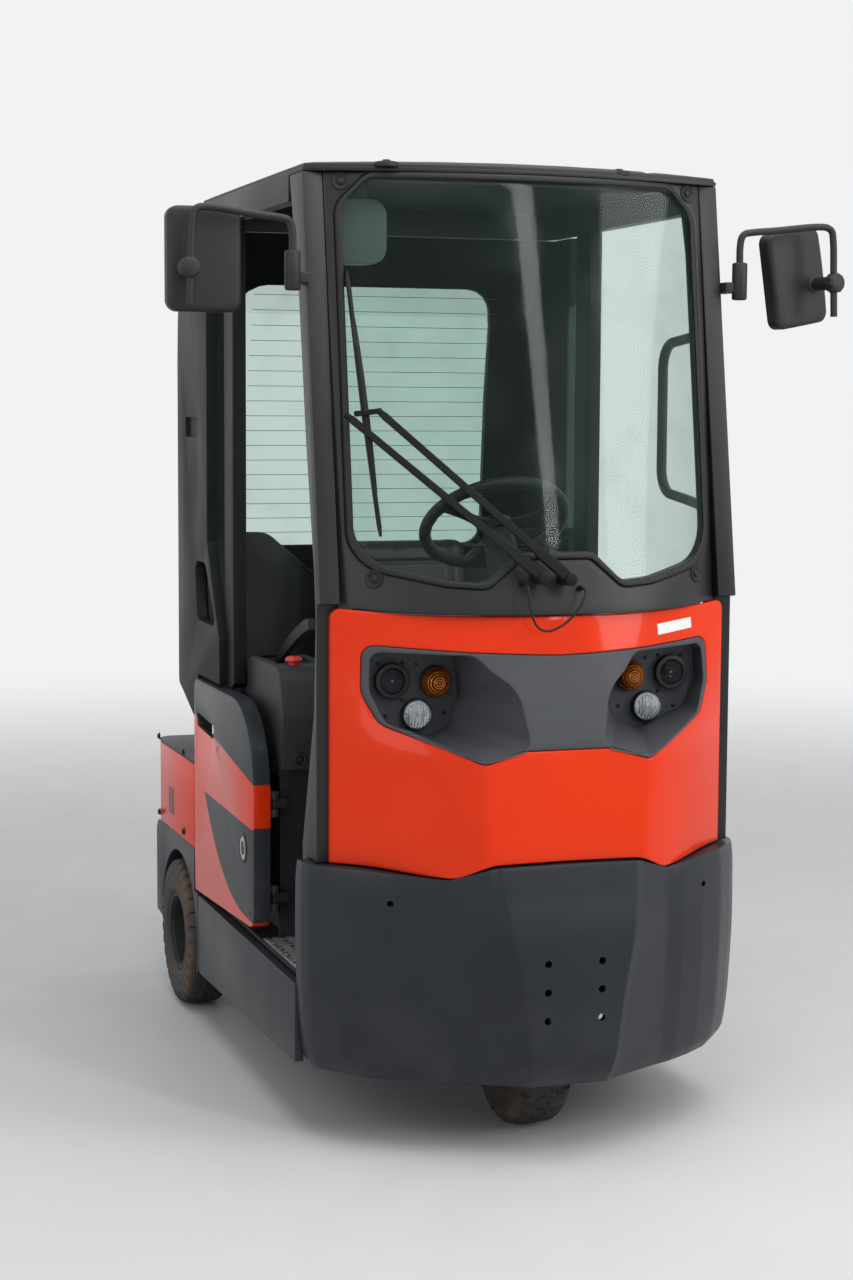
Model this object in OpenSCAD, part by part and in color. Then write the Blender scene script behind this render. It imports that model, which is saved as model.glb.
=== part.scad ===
// Electric airport baggage tug with a two-pillar cab, a heavy front bumper,
// one steered front wheel and two driven rear wheels.
// X runs across the vehicle, -Y is its front, Z is up, Z = 0 is the ground.

/* [Whole vehicle] */
// Length over the front bumper and the rear coupling
overall_length = 1830; // [1780:10:1900]
// Distance from the face of the bumper back to the front axle
front_overhang = 315; // [305:1:330]
// Distance from the rear axle back to the end of the coupling
rear_overhang = 295; // [280:1:310]
// Height of the crown of the roof above the ground
roof_top = 2092; // [2050:2:2160]
// Width over the sills, the battery doors and the rear body
body_width = 1010; // [980:2:1040]
// Reach of each mirror from the middle of the vehicle
mirror_reach = 770; // [740:2:800]
// Height of the tread plate that the driver stands on
floor_top = 345; // [335:1:360]

/* [Wheels] */
// Outside diameter of every tyre
tyre_diameter = 381; // [370:1:390]
// Width of every tyre
tyre_width = 114; // [100:1:120]
// Diameter of the rim seat
rim_diameter = 203; // [190:1:215]
// Distance between the outer faces of the two rear wheels
rear_wheel_span = 1032; // [1010:2:1050]
// Diameter of the axle stubs
axle_diameter = 50; // [40:1:60]
// Gap between a tyre and its arch
arch_gap = 24; // [15:1:40]

/* [Front end] */
// Height of the lower edge of the front bumper
bumper_bottom = 158; // [140:1:180]
// Height of the rim of the front bumper at its corners
bumper_top = 605; // [590:1:620]
// Thickness of the bumper plate
bumper_wall = 16; // [10:1:25]
// Half-width of the flat bumper panel at its top
panel_top_half = 158; // [140:1:170]
// Half-width of the flat bumper panel at its foot
panel_foot_half = 96; // [85:1:120]
// Sideways distance between the bumper's drilled holes
hole_spacing_x = 120; // [100:5:140]
// Height between the rows of bumper holes
hole_spacing_z = 60; // [50:2:64]
// Height of the middle row of bumper holes
hole_row_z = 367; // [355:1:380]
// Diameter of the bumper holes
hole_diameter = 16; // [10:1:20]
// Thickness of the painted front cover
cover_wall = 12; // [6:1:16]
// Height of the seam between the front cover and the windscreen
cover_top = 1154; // [1140:1:1170]
// Diameter of the upper head lamps
head_lamp_diameter = 76; // [70:1:80]
// Diameter of the lower head lamps and of the turn lamps
small_lamp_diameter = 68; // [60:1:70]

/* [Cab] */
// How far the front pillars stand in from the side of the body
pillar_inset = 29; // [24:1:36]
// Width of a front pillar seen from the front
pillar_width = 43; // [35:1:50]
// Thickness of the window glass
glass_wall = 6; // [4:0.5:8]
// How far the rear cab shell stands in from the side of the body
cab_inset = 13; // [8:1:20]
// Thickness of the rear cab shell
cab_wall = 26; // [18:1:34]
// Width of a door post seen from the front
post_width = 33; // [26:1:40]
// Fall of the roof panel from its crown to its side edges
roof_crown = 9; // [4:1:12]
// Width of a mirror plate
mirror_width = 156; // [140:2:170]
// Height of a mirror plate
mirror_height = 216; // [200:2:230]
// Turn of the left mirror towards the driver
mirror_turn = 15; // [5:1:20]
// Lean of the left mirror
mirror_lean = 10; // [0:1:12]

/* [Battery doors] */
// Thickness of a battery door
door_wall = 40; // [30:1:44]
// Height of the upper edge of a battery door
door_top = 885; // [870:1:900]
// Radius of the upper front corner of a battery door
door_corner = 200; // [120:5:240]
// Diameter of the hinge pins
hinge_pin = 10; // [8:0.5:12]

/* [Driver's place] */
// Diameter of the steering wheel
steering_wheel_diameter = 345; // [320:5:370]
// Tilt of the steering wheel from level
steering_tilt = 37; // [25:1:45]
// Height of the deck that the seat stands on
seat_deck_top = 737; // [720:1:750]
// Width of the seat cushion
seat_width = 450; // [400:5:480]
// Thickness of the seat cushion
cushion_height = 110; // [90:2:130]

/* [Rear end] */
// Height of the deck plate over the drive unit
rear_deck_top = 672; // [650:1:690]
// Thickness of the fenders
fender_wall = 18; // [10:1:22]
// Height of the lowest plate of the coupling jaw
jaw_low = 210; // [200:2:220]
// Height between the plates of the coupling jaw
jaw_step = 60; // [54:1:62]

/* [Hidden] */
$fn = 48;
fit = 0.3;
half = body_width / 2;
tyre_r = tyre_diameter / 2;
rim_r = rim_diameter / 2;
axle_r = axle_diameter / 2;
front_y = -overall_length / 2;
rear_y = overall_length / 2;
front_axle_y = front_y + front_overhang;
rear_axle_y = rear_y - rear_overhang;
rear_wheel_x = (rear_wheel_span - tyre_width) / 2;

// Cab: pillars, roof and rear shell follow the body's width and the roof's height.
pillar_half = half - pillar_inset;
cab_half = half - cab_inset;
screen_half = pillar_half - pillar_width - fit;
cover_half = pillar_half - 26;
screen_top = roof_top - 32;
rail_bottom = roof_top - 87;
roof_wall = 22;
seal_depth = 34;
pane_x = cab_half - cab_wall - 4;
seat_half = seat_width / 2;

// Frame, battery bay and floor.
deck_wall = 16;
plate_wall = 4;
deck_top = floor_top - plate_wall;
sill_top = floor_top - 12;
rail_wall = 12;
rail_foot = 170;
bay_front = front_y + 745;
bay_rear = rear_y - 485;
bay_half = half - 69;
bay_wall = 14;
hump_gap = 14;
hump_wall = 10;
hump_inner = sqrt(pow(tyre_r, 2) + pow(tyre_width / 2, 2)) + hump_gap;
hump_outer = hump_inner + hump_wall;
hump_top = tyre_diameter + 90;
turntable_z = hump_top - 18;
axle_tube_r = 55;

// Battery doors and their hinges.
door_inner = half - door_wall;
door_front = bay_front - 25;
door_rear = bay_rear - 5;
hinge_x = door_inner - 12;
hinge_y = bay_front - 13;
hinge_heights = [sill_top + 97, door_top - 235];
lug_height = 20;
knuckle_height = 18;

// Driver's place.
seat_top = seat_deck_top + cushion_height;
surround_y = rear_y - 477;
console_top = seat_deck_top + 235;
console_width = 138;
wheel_centre = [0, front_y + 515, cover_top + 156];
wheel_grip_r = 14;
column_r = 9;

// Rear end.
liner_wall = 12;
liner_x = rear_wheel_x - tyre_width / 2 - 56;
member_x = liner_x - 24;
rear_body_bottom = tyre_diameter + arch_gap + liner_wall + 29;
lid_wall = 10;
jaw_wall = 14;
jaw_r = 62;
jaw_pin_r = 12;

function mix(a, b, t) = a + (b - a) * t;
function unit(v) = v / norm(v);

// Heights up the windscreen as shares from the cover's seam to the screen's head.
function up(share) = mix(cover_top, screen_top, share);

// Outlines whose first numbers are distances behind the front or ahead of the rear.
function from_front(points) = [for (p = points) concat([front_y + p[0]], [for (k = [1 : len(p) - 1]) p[k]])];
function from_rear(points) = [for (p = points) concat([rear_y - p[0]], [for (k = [1 : len(p) - 1]) p[k]])];

// Corner points [across, up, radius] turned into an outline with round corners.
function rounded(corners, steps = 5) = [
    for (i = [0 : len(corners) - 1])
        let (c = corners[i], n = len(corners),
             p = [c.x, c.y],
             a = [corners[(i + n - 1) % n].x, corners[(i + n - 1) % n].y],
             b = [corners[(i + 1) % n].x, corners[(i + 1) % n].y],
             u = unit(a - p), v = unit(b - p),
             half_angle = acos(max(-1, min(1, u * v))) / 2,
             reach = c.z / tan(half_angle),
             middle = p + unit(u + v) * c.z / sin(half_angle),
             s = p + u * reach - middle, e = p + v * reach - middle,
             turn = s.x * e.y - s.y * e.x,
             sweep = (180 - 2 * half_angle) * sign(turn))
            each c.z <= 0 ? [p]
                : [for (k = [0 : steps])
                      let (w = sweep * k / steps)
                          middle + [s.x * cos(w) - s.y * sin(w), s.x * sin(w) + s.y * cos(w)]]
];

// Mirrored copy of an outline's right half, so that both halves match.
function mirrored(corners) = concat(
    [for (c = corners) [-c.x, c.y, c.z]],
    [for (k = [len(corners) - 1 : -1 : 0]) corners[k]]);

// An outline in Y and Z, extruded across the vehicle from x by t.
module side_plate(points, x, t) {
    translate([x, 0, 0]) rotate([90, 0, 90]) linear_extrude(t) polygon(points);
}

// An outline in X and Z, extruded along the vehicle from y by t.
module front_plate(points, y, t) {
    translate([0, y + t, 0]) rotate([90, 0, 0]) linear_extrude(t) polygon(points);
}

// Both sides of the vehicle get the same piece.
module both_sides() {
    children();
    mirror([1, 0, 0]) children();
}

// A cylinder across the vehicle that starts at x.
module cross_bar(x, y, z, r, length) {
    translate([x, y, z]) rotate([0, 90, 0]) cylinder(r = r, h = length);
}

// Closed shell between two grids of points. Columns cross rows so that the
// first grid faces outwards.
module skin(outer, inner) {
    rows = len(outer);
    cols = len(outer[0]);
    points = concat([for (r = outer) each r], [for (r = inner) each r]);
    function o(r, c) = r * cols + c;
    function i(r, c) = (rows + r) * cols + c;
    faces = concat(
        [for (r = [0 : rows - 2], c = [0 : cols - 2])
            each [[o(r, c), o(r + 1, c), o(r + 1, c + 1)], [o(r, c), o(r + 1, c + 1), o(r, c + 1)],
                  [i(r, c), i(r + 1, c + 1), i(r + 1, c)], [i(r, c), i(r, c + 1), i(r + 1, c + 1)]]],
        [for (c = [0 : cols - 2])
            each [[o(0, c), o(0, c + 1), i(0, c + 1)], [o(0, c), i(0, c + 1), i(0, c)],
                  [o(rows - 1, c), i(rows - 1, c + 1), o(rows - 1, c + 1)],
                  [o(rows - 1, c), i(rows - 1, c), i(rows - 1, c + 1)]]],
        [for (r = [0 : rows - 2])
            each [[i(r, 0), i(r + 1, 0), o(r + 1, 0)], [i(r, 0), o(r + 1, 0), o(r, 0)],
                  [i(r, cols - 1), o(r + 1, cols - 1), i(r + 1, cols - 1)],
                  [i(r, cols - 1), o(r, cols - 1), o(r + 1, cols - 1)]]]);
    polyhedron(points, faces, convexity = 4);
}

// Corners [x, y, z, radius] in space turned into a route with round bends.
function bends(corners, steps = 5) = let (n = len(corners)) [
    for (i = [0 : n - 1])
        let (p = [corners[i].x, corners[i].y, corners[i].z])
            each i == 0 || i == n - 1 ? [p]
                : let (a = [for (k = [0 : 2]) corners[i - 1][k]], b = [for (k = [0 : 2]) corners[i + 1][k]],
                       u = unit(a - p), v = unit(b - p), half_angle = acos(u * v) / 2, r = corners[i][3],
                       reach = r / tan(half_angle), middle = p + unit(u + v) * r / sin(half_angle),
                       s = p + u * reach - middle, e = p + v * reach - middle,
                       sweep = 180 - 2 * half_angle)
                    [for (k = [0 : steps])
                        middle + (s * sin(sweep * (1 - k / steps)) + e * sin(sweep * k / steps)) / sin(sweep)]
];

// A round bar swept along a route as one closed solid.
module tube_along(route, r, sides = 10) {
    n = len(route);
    function along(k) = unit(route[min(k + 1, n - 1)] - route[max(k - 1, 0)]);
    start = along(0);
    side = unit(abs(start.z) > 0.9 ? cross(start, [0, 1, 0]) : cross(start, [0, 0, 1]));
    function squared(u, a) = unit(u - a * (u * a));
    frames = [for (k = 0, u = side; k < n; k = k + 1, u = squared(u, along(min(k, n - 1)))) u];
    rings = [for (k = [0 : n - 1]) let (u = frames[k], v = cross(along(k), u))
        for (j = [0 : sides - 1]) route[k] + r * (u * cos(360 * j / sides) + v * sin(360 * j / sides))];
    polyhedron(rings, concat(
        [[for (j = [0 : sides - 1]) j]],
        [for (k = [0 : n - 2], j = [0 : sides - 1])
            let (a = k * sides, b = a + sides, m = (j + 1) % sides)
                [a + m, a + j, b + j, b + m]],
        [[for (j = [sides - 1 : -1 : 0]) (n - 1) * sides + j]]), convexity = 6);
}

// Columns of a grid across the vehicle, closer together towards the corners.
function spread(half_width, count) = [
    for (k = [-count : count]) half_width * sin(90 * k / (count + 1)) / sin(90 * count / (count + 1))
];

// Windscreen surface: bowed more at its foot than at its head.
screen_foot_y = front_y + 103;
screen_head_y = front_y + 311;
screen_foot_r = 620;
screen_head_r = 1170;
function screen_share(z) = (z - cover_top) / (screen_top - cover_top);
function screen_r(z) = 1 / mix(1 / screen_foot_r, 1 / screen_head_r, screen_share(z));
function screen_y(x, z) = mix(screen_foot_y, screen_head_y, screen_share(z))
    + screen_r(z) - sqrt(pow(screen_r(z), 2) - x * x);

// Slab that follows the windscreen, from depth a to depth b behind its face.
module screen_slab(a, b, z0, z1, drop = 0) {
    xs = spread(screen_half, 6);
    rows = [z0, z0 + 60, mix(z0, z1, 0.5), z1];
    function foot(x, z) = z == z0 ? z - drop * (1 - pow(x / cover_half, 4)) : z;
    skin([for (z = rows) [for (x = xs) [x, screen_y(x, foot(x, z)) + a, foot(x, z)]]],
         [for (z = rows) [for (x = xs) [x, screen_y(x, foot(x, z)) + b, foot(x, z)]]]);
}

// Outline of the glass, its lower middle raised round the wiper.
glass_edge = 32.7;
function glass_outline(grow) = let (side = screen_half - glass_edge)
    rounded(mirrored([
        [side - 55, screen_top - 14 + grow, 40], [side + grow, screen_top - 70, 60],
        [side + grow, cover_top + 88 - grow, 45], [230, cover_top + 57 - grow, 60],
        [150, cover_top + 52 - grow, 40],
        [84 - grow / 2, cover_top + 114 - grow, 22]]), 4);

// Front cover surface: flat nose between two creases, drawn back to the corners.
cover_corner_y = front_y + 275;
crease_z = cover_top - 316;
function nose_y(z) = lookup(z, [
    [bumper_top - 15, front_y + 49], [crease_z, front_y + 53], [cover_top - 194, front_y + 77],
    [cover_top - 94, front_y + 103], [cover_top + 6, front_y + 115]]);
function nose_half(z) = lookup(z, [
    [bumper_top - 15, panel_top_half + 14], [crease_z, panel_top_half + 22], [cover_top - 194, 130],
    [cover_top - 94, 60], [cover_top + 6, 10]]);
function nose_power(z) = lookup(z, [
    [bumper_top - 15, 1.2], [crease_z, 1.25], [cover_top - 94, 1.5], [cover_top + 6, 1.65]]);
function cover_y(x, z) = let (w = nose_half(z), t = max(0, (abs(x) - w) / (cover_half - w)))
    mix(nose_y(z), cover_corner_y, pow(t, nose_power(z)));
function cover_xs(z) = let (w = nose_half(z))
    concat([for (t = [1, 0.88, 0.7, 0.5, 0.3, 0.14]) -mix(w, cover_half, t)],
           [-w, -w / 2, 0, w / 2, w],
           [for (t = [0.14, 0.3, 0.5, 0.7, 0.88, 1]) mix(w, cover_half, t)]);
cover_rows = concat(
    [for (t = [0, 0.32, 0.66]) mix(bumper_top + 1, crease_z, t)],
    [for (d = [316, 254, 194, 144, 94, 44, 4]) cover_top - d]);

// The upper seam dips in the middle and the foot follows the bumper's rim.
cover_foot_gap = 3.8;
function seam_drop(x, z) =
    z > cover_top - 54 ? (z - cover_top + 54) / 50 * 13 * (1 - pow(x / cover_half, 4))
    : z < bumper_top + 5 ? z - bumper_top - bumper_lift(x, bumper_top) - cover_foot_gap : 0;

module cover_slab(a, b) {
    skin([for (z = cover_rows) [for (x = cover_xs(z)) [x, cover_y(x, z) + a, z - seam_drop(x, z)]]],
         [for (z = cover_rows) [for (x = cover_xs(z)) [x, cover_y(x, z) + b, z - seam_drop(x, z)]]]);
}

// Moulding behind the lamps: its lower edge dips twice beside the nose.
mask_outline = rounded(concat(mirrored([
    [200, cover_top - 92, 0], [cover_half - 58, cover_top - 80, 26], [cover_half - 54, cover_top - 179, 60],
    [cover_half - 84, cover_top - 242, 40], [cover_half - 200, cover_top - 286, 60],
    [cover_half - 268, crease_z, 30], [cover_half - 350, cover_top - 290, 20]]),
    [[0, cover_top - 99, 0]]), 4);
pocket_outline = rounded([
    [cover_half - 272, cover_top - 108, 24], [cover_half - 74, cover_top - 96, 22],
    [cover_half - 70, cover_top - 176, 50], [cover_half - 98, cover_top - 239, 34],
    [cover_half - 210, cover_top - 282, 30], [cover_half - 260, cover_top - 261, 30],
    [cover_half - 280, cover_top - 194, 40]], 4);
lamp_plate_y = front_y + 267;
lamp_plate_wall = 8;

// Mouth of each lamp bay: it opens towards the nose and along the lower edge.
mouth_y = front_y + 65;
mouth_outline = rounded([
    [cover_half - 254, cover_top - 98, 26], [cover_half - 68, cover_top - 88, 20],
    [cover_half - 64, cover_top - 176, 54], [cover_half - 92, cover_top - 244, 38],
    [cover_half - 262, cover_top - 308, 36], [cover_half - 360, cover_top - 283, 24],
    [cover_half - 350, cover_top - 194, 60]], 4);

// Half of the bumper's plan, from the rear edge of its side to the flat panel.
bumper_rear_y = front_y + 355;
rim_z = bumper_top - 45;
belt_z = mix(bumper_bottom, bumper_top, 0.66);
rim_wall = 44;
function bumper_plan(z) =
    let (w = lookup(z, [[bumper_bottom, panel_foot_half - 6], [bumper_bottom + 82, panel_foot_half],
                        [bumper_top + 15, panel_top_half]]),
         f = lookup(z, [[bumper_bottom, front_y + 8], [bumper_bottom + 32, front_y], [belt_z, front_y],
                        [bumper_top + 15, front_y + 36]]))
    concat([for (p = [[0, 355], [2, 317], [12, 283], [38, 247], [85, 193], [149, 146], [215, 107], [259, 89]])
               [half - p.x, front_y + p.y]],
           [[w + 18, f + 14], [w, f], [w / 2, f]]);

// The sides tuck in towards the foot and the rim, the drilled panel stays flat.
side_tuck = [[bumper_bottom, 30], [bumper_bottom + 27, 16], [bumper_bottom + 142, 5], [belt_z, 0],
             [rim_z, 1], [bumper_top - 5, 4], [bumper_top + 15, 12]];
panel_tuck = [[bumper_bottom, 30], [bumper_bottom + 27, 16], [bumper_bottom + 82, 0], [belt_z, 0],
              [rim_z, 1], [bumper_top - 5, 4], [bumper_top + 15, 12]];
function bumper_lift(x, z) = z < rim_z ? 0
    : lookup(abs(x), [[0, 22], [panel_top_half, 20], [half - 259, -10], [half - 105, 2], [half - 5, 0]])
        * (z - rim_z) / 45;
function bumper_row(z, inset) =
    let (plan = bumper_plan(z), n = len(plan),
         row = [for (k = [0 : n - 1])
             let (p = plan[k], d = lookup(z, k < n - 3 ? side_tuck : panel_tuck) + inset,
                  e = min(1, max(0, (bumper_rear_y - p.y) / 90)))
                 [p.x - d * mix(1, p.x / (half + 55), e), p.y + d * e, z + bumper_lift(p.x, z)]])
    concat([for (p = row) [-p.x, p.y, p.z]],
           [[0, row[n - 1].y, z + bumper_lift(0, z)]],
           [for (k = [n - 1 : -1 : 0]) row[k]]);
bumper_rows = concat(
    [for (d = [0, 27, 82, 152]) bumper_bottom + d], [belt_z],
    [for (d = [49, 33, 5, 0]) bumper_top - d]);

// Welded frame: deck, hump over the front wheel, rear side members and coupling plate.
module hump_bore() translate([0, front_axle_y, 0]) cylinder(r = hump_inner, h = turntable_z);

module bumper_bracket(x) difference() {
    side_plate([
        [front_y + bumper_wall + fit, 302], [front_y + bumper_wall + fit, belt_z - 14],
        [front_y + bumper_wall + 14, hump_top], [front_axle_y - 165, hump_top], [front_axle_y - 165, 302]],
        x - 10, 20);
    hump_bore();
}

module chassis() color("dimgray") {
    difference() {
        union() {
            translate([-bay_half - 44, front_y + 359, deck_top - deck_wall])
                cube([2 * (bay_half + 44), bay_rear - front_y - 359, deck_wall]);
            translate([0, front_axle_y, deck_top - deck_wall])
                cylinder(r = hump_outer, h = hump_top - deck_top + deck_wall);
        }
        hump_bore();
    }
    bumper_bracket(88);
    bumper_bracket(-88);
    difference() {
        for (s = [-1, 1]) {
            translate([s * member_x - 10, bay_rear - 60, rail_foot])
                cube([20, rear_y - 40 - bay_rear, deck_top - rail_foot]);
            translate([s * member_x - 10, bay_rear + 2, rail_foot])
                cube([20, rear_y - 102 - bay_rear, rear_body_bottom - fit - rail_foot]);
        }
        cross_bar(-half, rear_axle_y, tyre_r, axle_tube_r + fit, 2 * half);
    }
    translate([-member_x - 10, bay_rear - 60, rail_foot])
        cube([2 * member_x + 20, 20, deck_top - rail_foot]);
    translate([-member_x - 10, rear_y - 100, rail_foot])
        cube([2 * member_x + 20, 20, rear_body_bottom - fit - rail_foot]);
    both_sides() translate([bay_half + 14, front_y + 375, 200])
        cube([rail_wall, bay_rear - 70 - front_y - 375, deck_top - deck_wall - 200]);
}

module front_bumper() color("#2a2c31") difference() {
    skin([for (z = bumper_rows) bumper_row(z, 0)],
         [for (z = bumper_rows) bumper_row(z, z < rim_z ? bumper_wall : rim_wall)]);
    for (x = [-0.5, 0.5], k = [-1, 0, 1])
        translate([x * hole_spacing_x, front_y - 20, hole_row_z + k * hole_spacing_z])
            rotate([-90, 0, 0]) cylinder(d = hole_diameter, h = bumper_wall + 40);
    for (s = [-1, 1]) translate([s * (half - 149), front_y + 85, bumper_top - 63])
        rotate([-90, 0, 0]) cylinder(d = 12, h = 120);
}

module front_cover() color("#e83c19") difference() {
    cover_slab(0, cover_wall);
    front_plate(mask_outline, front_y, 275);
}

module mask_body() intersection() {
    cover_slab(-2, 190);
    front_plate([for (p = mask_outline) p * 0.998 + [0, 2]], front_y,
                lamp_plate_y + lamp_plate_wall - front_y);
}

// Room in front of the lamps, drawn from the floor's outline to the mouth's.
module lamp_bay() {
    n = len(pocket_outline);
    function ring(y) = let (t = (lamp_plate_y - y) / (lamp_plate_y - mouth_y))
        [for (k = [0 : n - 1]) let (p = mix(pocket_outline[k], mouth_outline[k], t)) [p.x, y, p.y]];
    polyhedron(concat(ring(front_y), ring(lamp_plate_y)), concat(
        [[for (k = [0 : n - 1]) k], [for (k = [n - 1 : -1 : 0]) n + k]],
        [for (k = [0 : n - 1]) let (m = (k + 1) % n)
            each [[k, n + k, n + m], [k, n + m, m]]]), convexity = 4);
}

module lamp_mask() color("#38393d") difference() {
    mask_body();
    both_sides() lamp_bay();
}

// Round lamp that looks forward: seat ring and lens turned about one axis.
module lamp(x, z, r, ring, bulge) {
    translate([x, lamp_plate_y - fit, z]) rotate([90, 0, 0]) rotate_extrude() polygon([
        [0, 0], [r, 0], [r, ring], [r - 5, ring + 3], [r - 7, ring],
        [r * 0.6, ring + bulge * 0.7], [0, ring + bulge]]);
}

module head_lamps() color("lightgray") both_sides() {
    lamp(cover_half - 130, cover_top - 160, head_lamp_diameter / 2, 16, 10);
    lamp(cover_half - 186, cover_top - 233, small_lamp_diameter / 2, 14, 22);
}

module turn_lamps() color("orange") both_sides()
    lamp(cover_half - 227, cover_top - 165, small_lamp_diameter / 2, 14, 24);

module windscreen_frame() color("#1c1d20") difference() {
    screen_slab(6, 30, cover_top + 2, screen_top, 17);
    front_plate(glass_outline(14), front_y, 600);
}

module windscreen_seal() color("black") difference() {
    intersection() {
        screen_slab(0, seal_depth, cover_top + 10, screen_top - 2, 0);
        front_plate(glass_outline(14 - fit), front_y, 600);
    }
    front_plate(glass_outline(0), front_y, 600);
}

module windscreen() color("lightcyan", 0.3) intersection() {
    screen_slab(10, 10 + glass_wall, cover_top + 10, screen_top - 2);
    front_plate(glass_outline(-fit), front_y, 600);
}

// Bent pillar: its front edge carries the windscreen, its foot stands on the floor.
pillar_back = [[0.0784, 313], [0.3819, 377], [0.713, 433], [1, 510]];
function pillar_rear_y(z) = front_y + lookup(screen_share(z), pillar_back);
pillar_front_y = cover_corner_y + cover_wall + fit;
pillar_outline = concat(
    [[front_y + 400, screen_top], [front_y + 260, cover_top + 4], [pillar_front_y, cover_top + 1],
     [pillar_front_y, bumper_top + 3], [front_y + 358, bumper_top + 3], [front_y + 358, floor_top + fit],
     [front_y + 395, floor_top + fit], [front_y + 403, bumper_top + 25], [front_y + 313, cover_top - 234],
     [front_y + 299, cover_top - 34]],
    [for (p = pillar_back) [front_y + p[1], up(p[0])]]);

module front_pillars() color("#17181b") both_sides()
    side_plate(pillar_outline, pillar_half - pillar_width, pillar_width);

// Plan of the roof with a bowed front edge and cut rear corners.
roof_front_y = front_y + 315;
roof_rear_y = rear_y - 429;
roof_bow = 85;
function roof_edge(inset) = let (w = pillar_half - inset)
    concat([for (k = [-6 : 6]) [w * k / 6, roof_front_y + inset + roof_bow * pow(k / 6, 2)]],
           [[w, roof_rear_y - 50], [w - 15, roof_rear_y - 14], [w - 50, roof_rear_y - inset],
            [50 - w, roof_rear_y - inset], [15 - w, roof_rear_y - 14], [-w, roof_rear_y - 50]]);

module roof_frame() color("#1c1d20") difference() {
    translate([0, 0, rail_bottom]) linear_extrude(roof_top - roof_wall - rail_bottom) polygon(roof_edge(0));
    translate([0, 0, rail_bottom - 1]) linear_extrude(100) polygon(roof_edge(34));
    translate([-pillar_half - 1, front_y + 215, rail_bottom - 1])
        cube([2 * pillar_half + 2, 302, screen_top + fit - rail_bottom + 1]);
}

// Grey unit that hangs from the roof skin, behind the right end of the windscreen.
housing_x = 130 - pillar_half;
housing_top = rail_bottom + 4;
module roof_housing() color("#5c5e60") {
    front_plate(rounded([
        [housing_x - 64, housing_top - 138, 34], [housing_x + 64, housing_top - 138, 34],
        [housing_x + 64, housing_top, 34], [housing_x - 64, housing_top, 34]], 4), front_y + 425, 60);
    translate([housing_x - 25, front_y + 440, housing_top - 8])
        cube([50, 30, roof_top - roof_wall - housing_top + 8]);
}

// Roof skin: highest in the middle, falling to its edges, with a step round its rim.
function roof_z(x, y) = let (t = (y - roof_front_y) / (roof_rear_y - roof_front_y) * 2 - 1)
    roof_top - roof_crown * pow(x / pillar_half, 2) - 9 * pow(t, 4);
module roof_panel() color("#222327") {
    translate([0, 0, roof_top - roof_wall + fit]) linear_extrude(6) polygon(roof_edge(4));
    intersection() {
        translate([0, 0, roof_top - roof_wall + fit]) linear_extrude(roof_wall) polygon(roof_edge(22));
        skin([for (r = [0 : 8]) let (y = mix(roof_front_y, roof_rear_y, r / 8))
                 [for (x = spread(pillar_half, 5)) [x, y, roof_z(x, y)]]],
             [for (r = [0 : 8]) let (y = mix(roof_front_y, roof_rear_y, r / 8))
                 [for (x = spread(pillar_half, 5)) [x, y, roof_top - roof_wall + 2]]]);
    }
}

// Side contour of the rear of the cab, from the roof down to the battery door.
cab_back = concat(
    [[rear_y - 453, rail_bottom - 2]],
    from_rear([[261, up(0.7241)], [225, up(0.4923)], [207, up(0.2715)], [188, cover_top - 24],
               [187, door_top + 71], [207, door_top], [255, door_top - 39], [308, door_top - 58]]));
cab_foot = door_top - 58;
cab_side_outline = concat([[rear_y - 585, rail_bottom - 2]], cab_back, from_rear([
    [479, door_top - 125], [479, door_top + 7], [715, door_top + 7], [715, door_top + 115],
    [585, up(0.0894)]]));
function cab_inner(d) = concat(
    [[rear_y - 615, rail_bottom + 5]],
    [for (p = cab_back) [p.x - d, p.y + (p.y < door_top + 15 ? d : p.y > rail_bottom - 15 ? 10 : 0)]],
    [[rear_y - 615, cab_foot + d]]);
rear_pane_half = cab_half - 132;
function rear_pane_outline(grow) = let (w = rear_pane_half + grow)
    rounded([[-w, cover_top + 46 - grow, 50], [w, cover_top + 46 - grow, 50],
             [w, roof_top - 212 + grow, 90], [-w, roof_top - 212 + grow, 90]], 5);

module rear_cab() color("#1f2125") difference() {
    intersection() {
        side_plate(cab_side_outline, -cab_half, 2 * cab_half);
        translate([0, 0, door_top - 185]) linear_extrude(roof_top) polygon(rounded([
            [-cab_half, rear_y - 915, 0], [cab_half, rear_y - 915, 0],
            [cab_half, rear_y - 187, 70], [-cab_half, rear_y - 187, 70]], 6));
    }
    side_plate(cab_inner(cab_wall), cab_wall - cab_half, 2 * (cab_half - cab_wall));
    side_plate(from_rear([
        [815, door_top - 185], [479, door_top - 185], [479, door_top + 15], [605, door_top + 125],
        [605, roof_top + 8], [815, roof_top + 8]]), cab_wall - cab_half, 2 * (cab_half - cab_wall));
    front_plate(rear_pane_outline(0), rear_y - 355, 300);
    side_plate(rounded(from_rear([
        [679, door_top + 143, 16], [475, door_top + 147, 20], [445, door_top + 295, 30],
        [565, door_top + 295, 30]]), 3), -body_width, 2 * body_width);
    side_plate(rounded(from_rear([
        [485, up(0.3709), 6], [345, up(0.3709), 6], [345, up(0.426), 6], [485, up(0.426), 6]]), 2),
        -body_width, body_width - cab_half + 10);
}

module rear_pane() intersection() {
    difference() {
        side_plate(concat(cab_back, from_rear([[615, cab_foot], [615, rail_bottom - 2]])),
                   fit - rear_pane_half, 2 * (rear_pane_half - fit));
        side_plate([for (p = concat(cab_back, from_rear([[615, cab_foot], [615, rail_bottom - 2]])))
            p - [2 * glass_wall, 0]], -cab_half, 2 * cab_half);
        side_plate(from_rear([[615, door_top - 185], [455, door_top - 185],
                              [455, roof_top], [615, roof_top]]),
                   -cab_half, 2 * cab_half);
    }
    front_plate(rear_pane_outline(-fit), rear_y - 515, 500);
}

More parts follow.
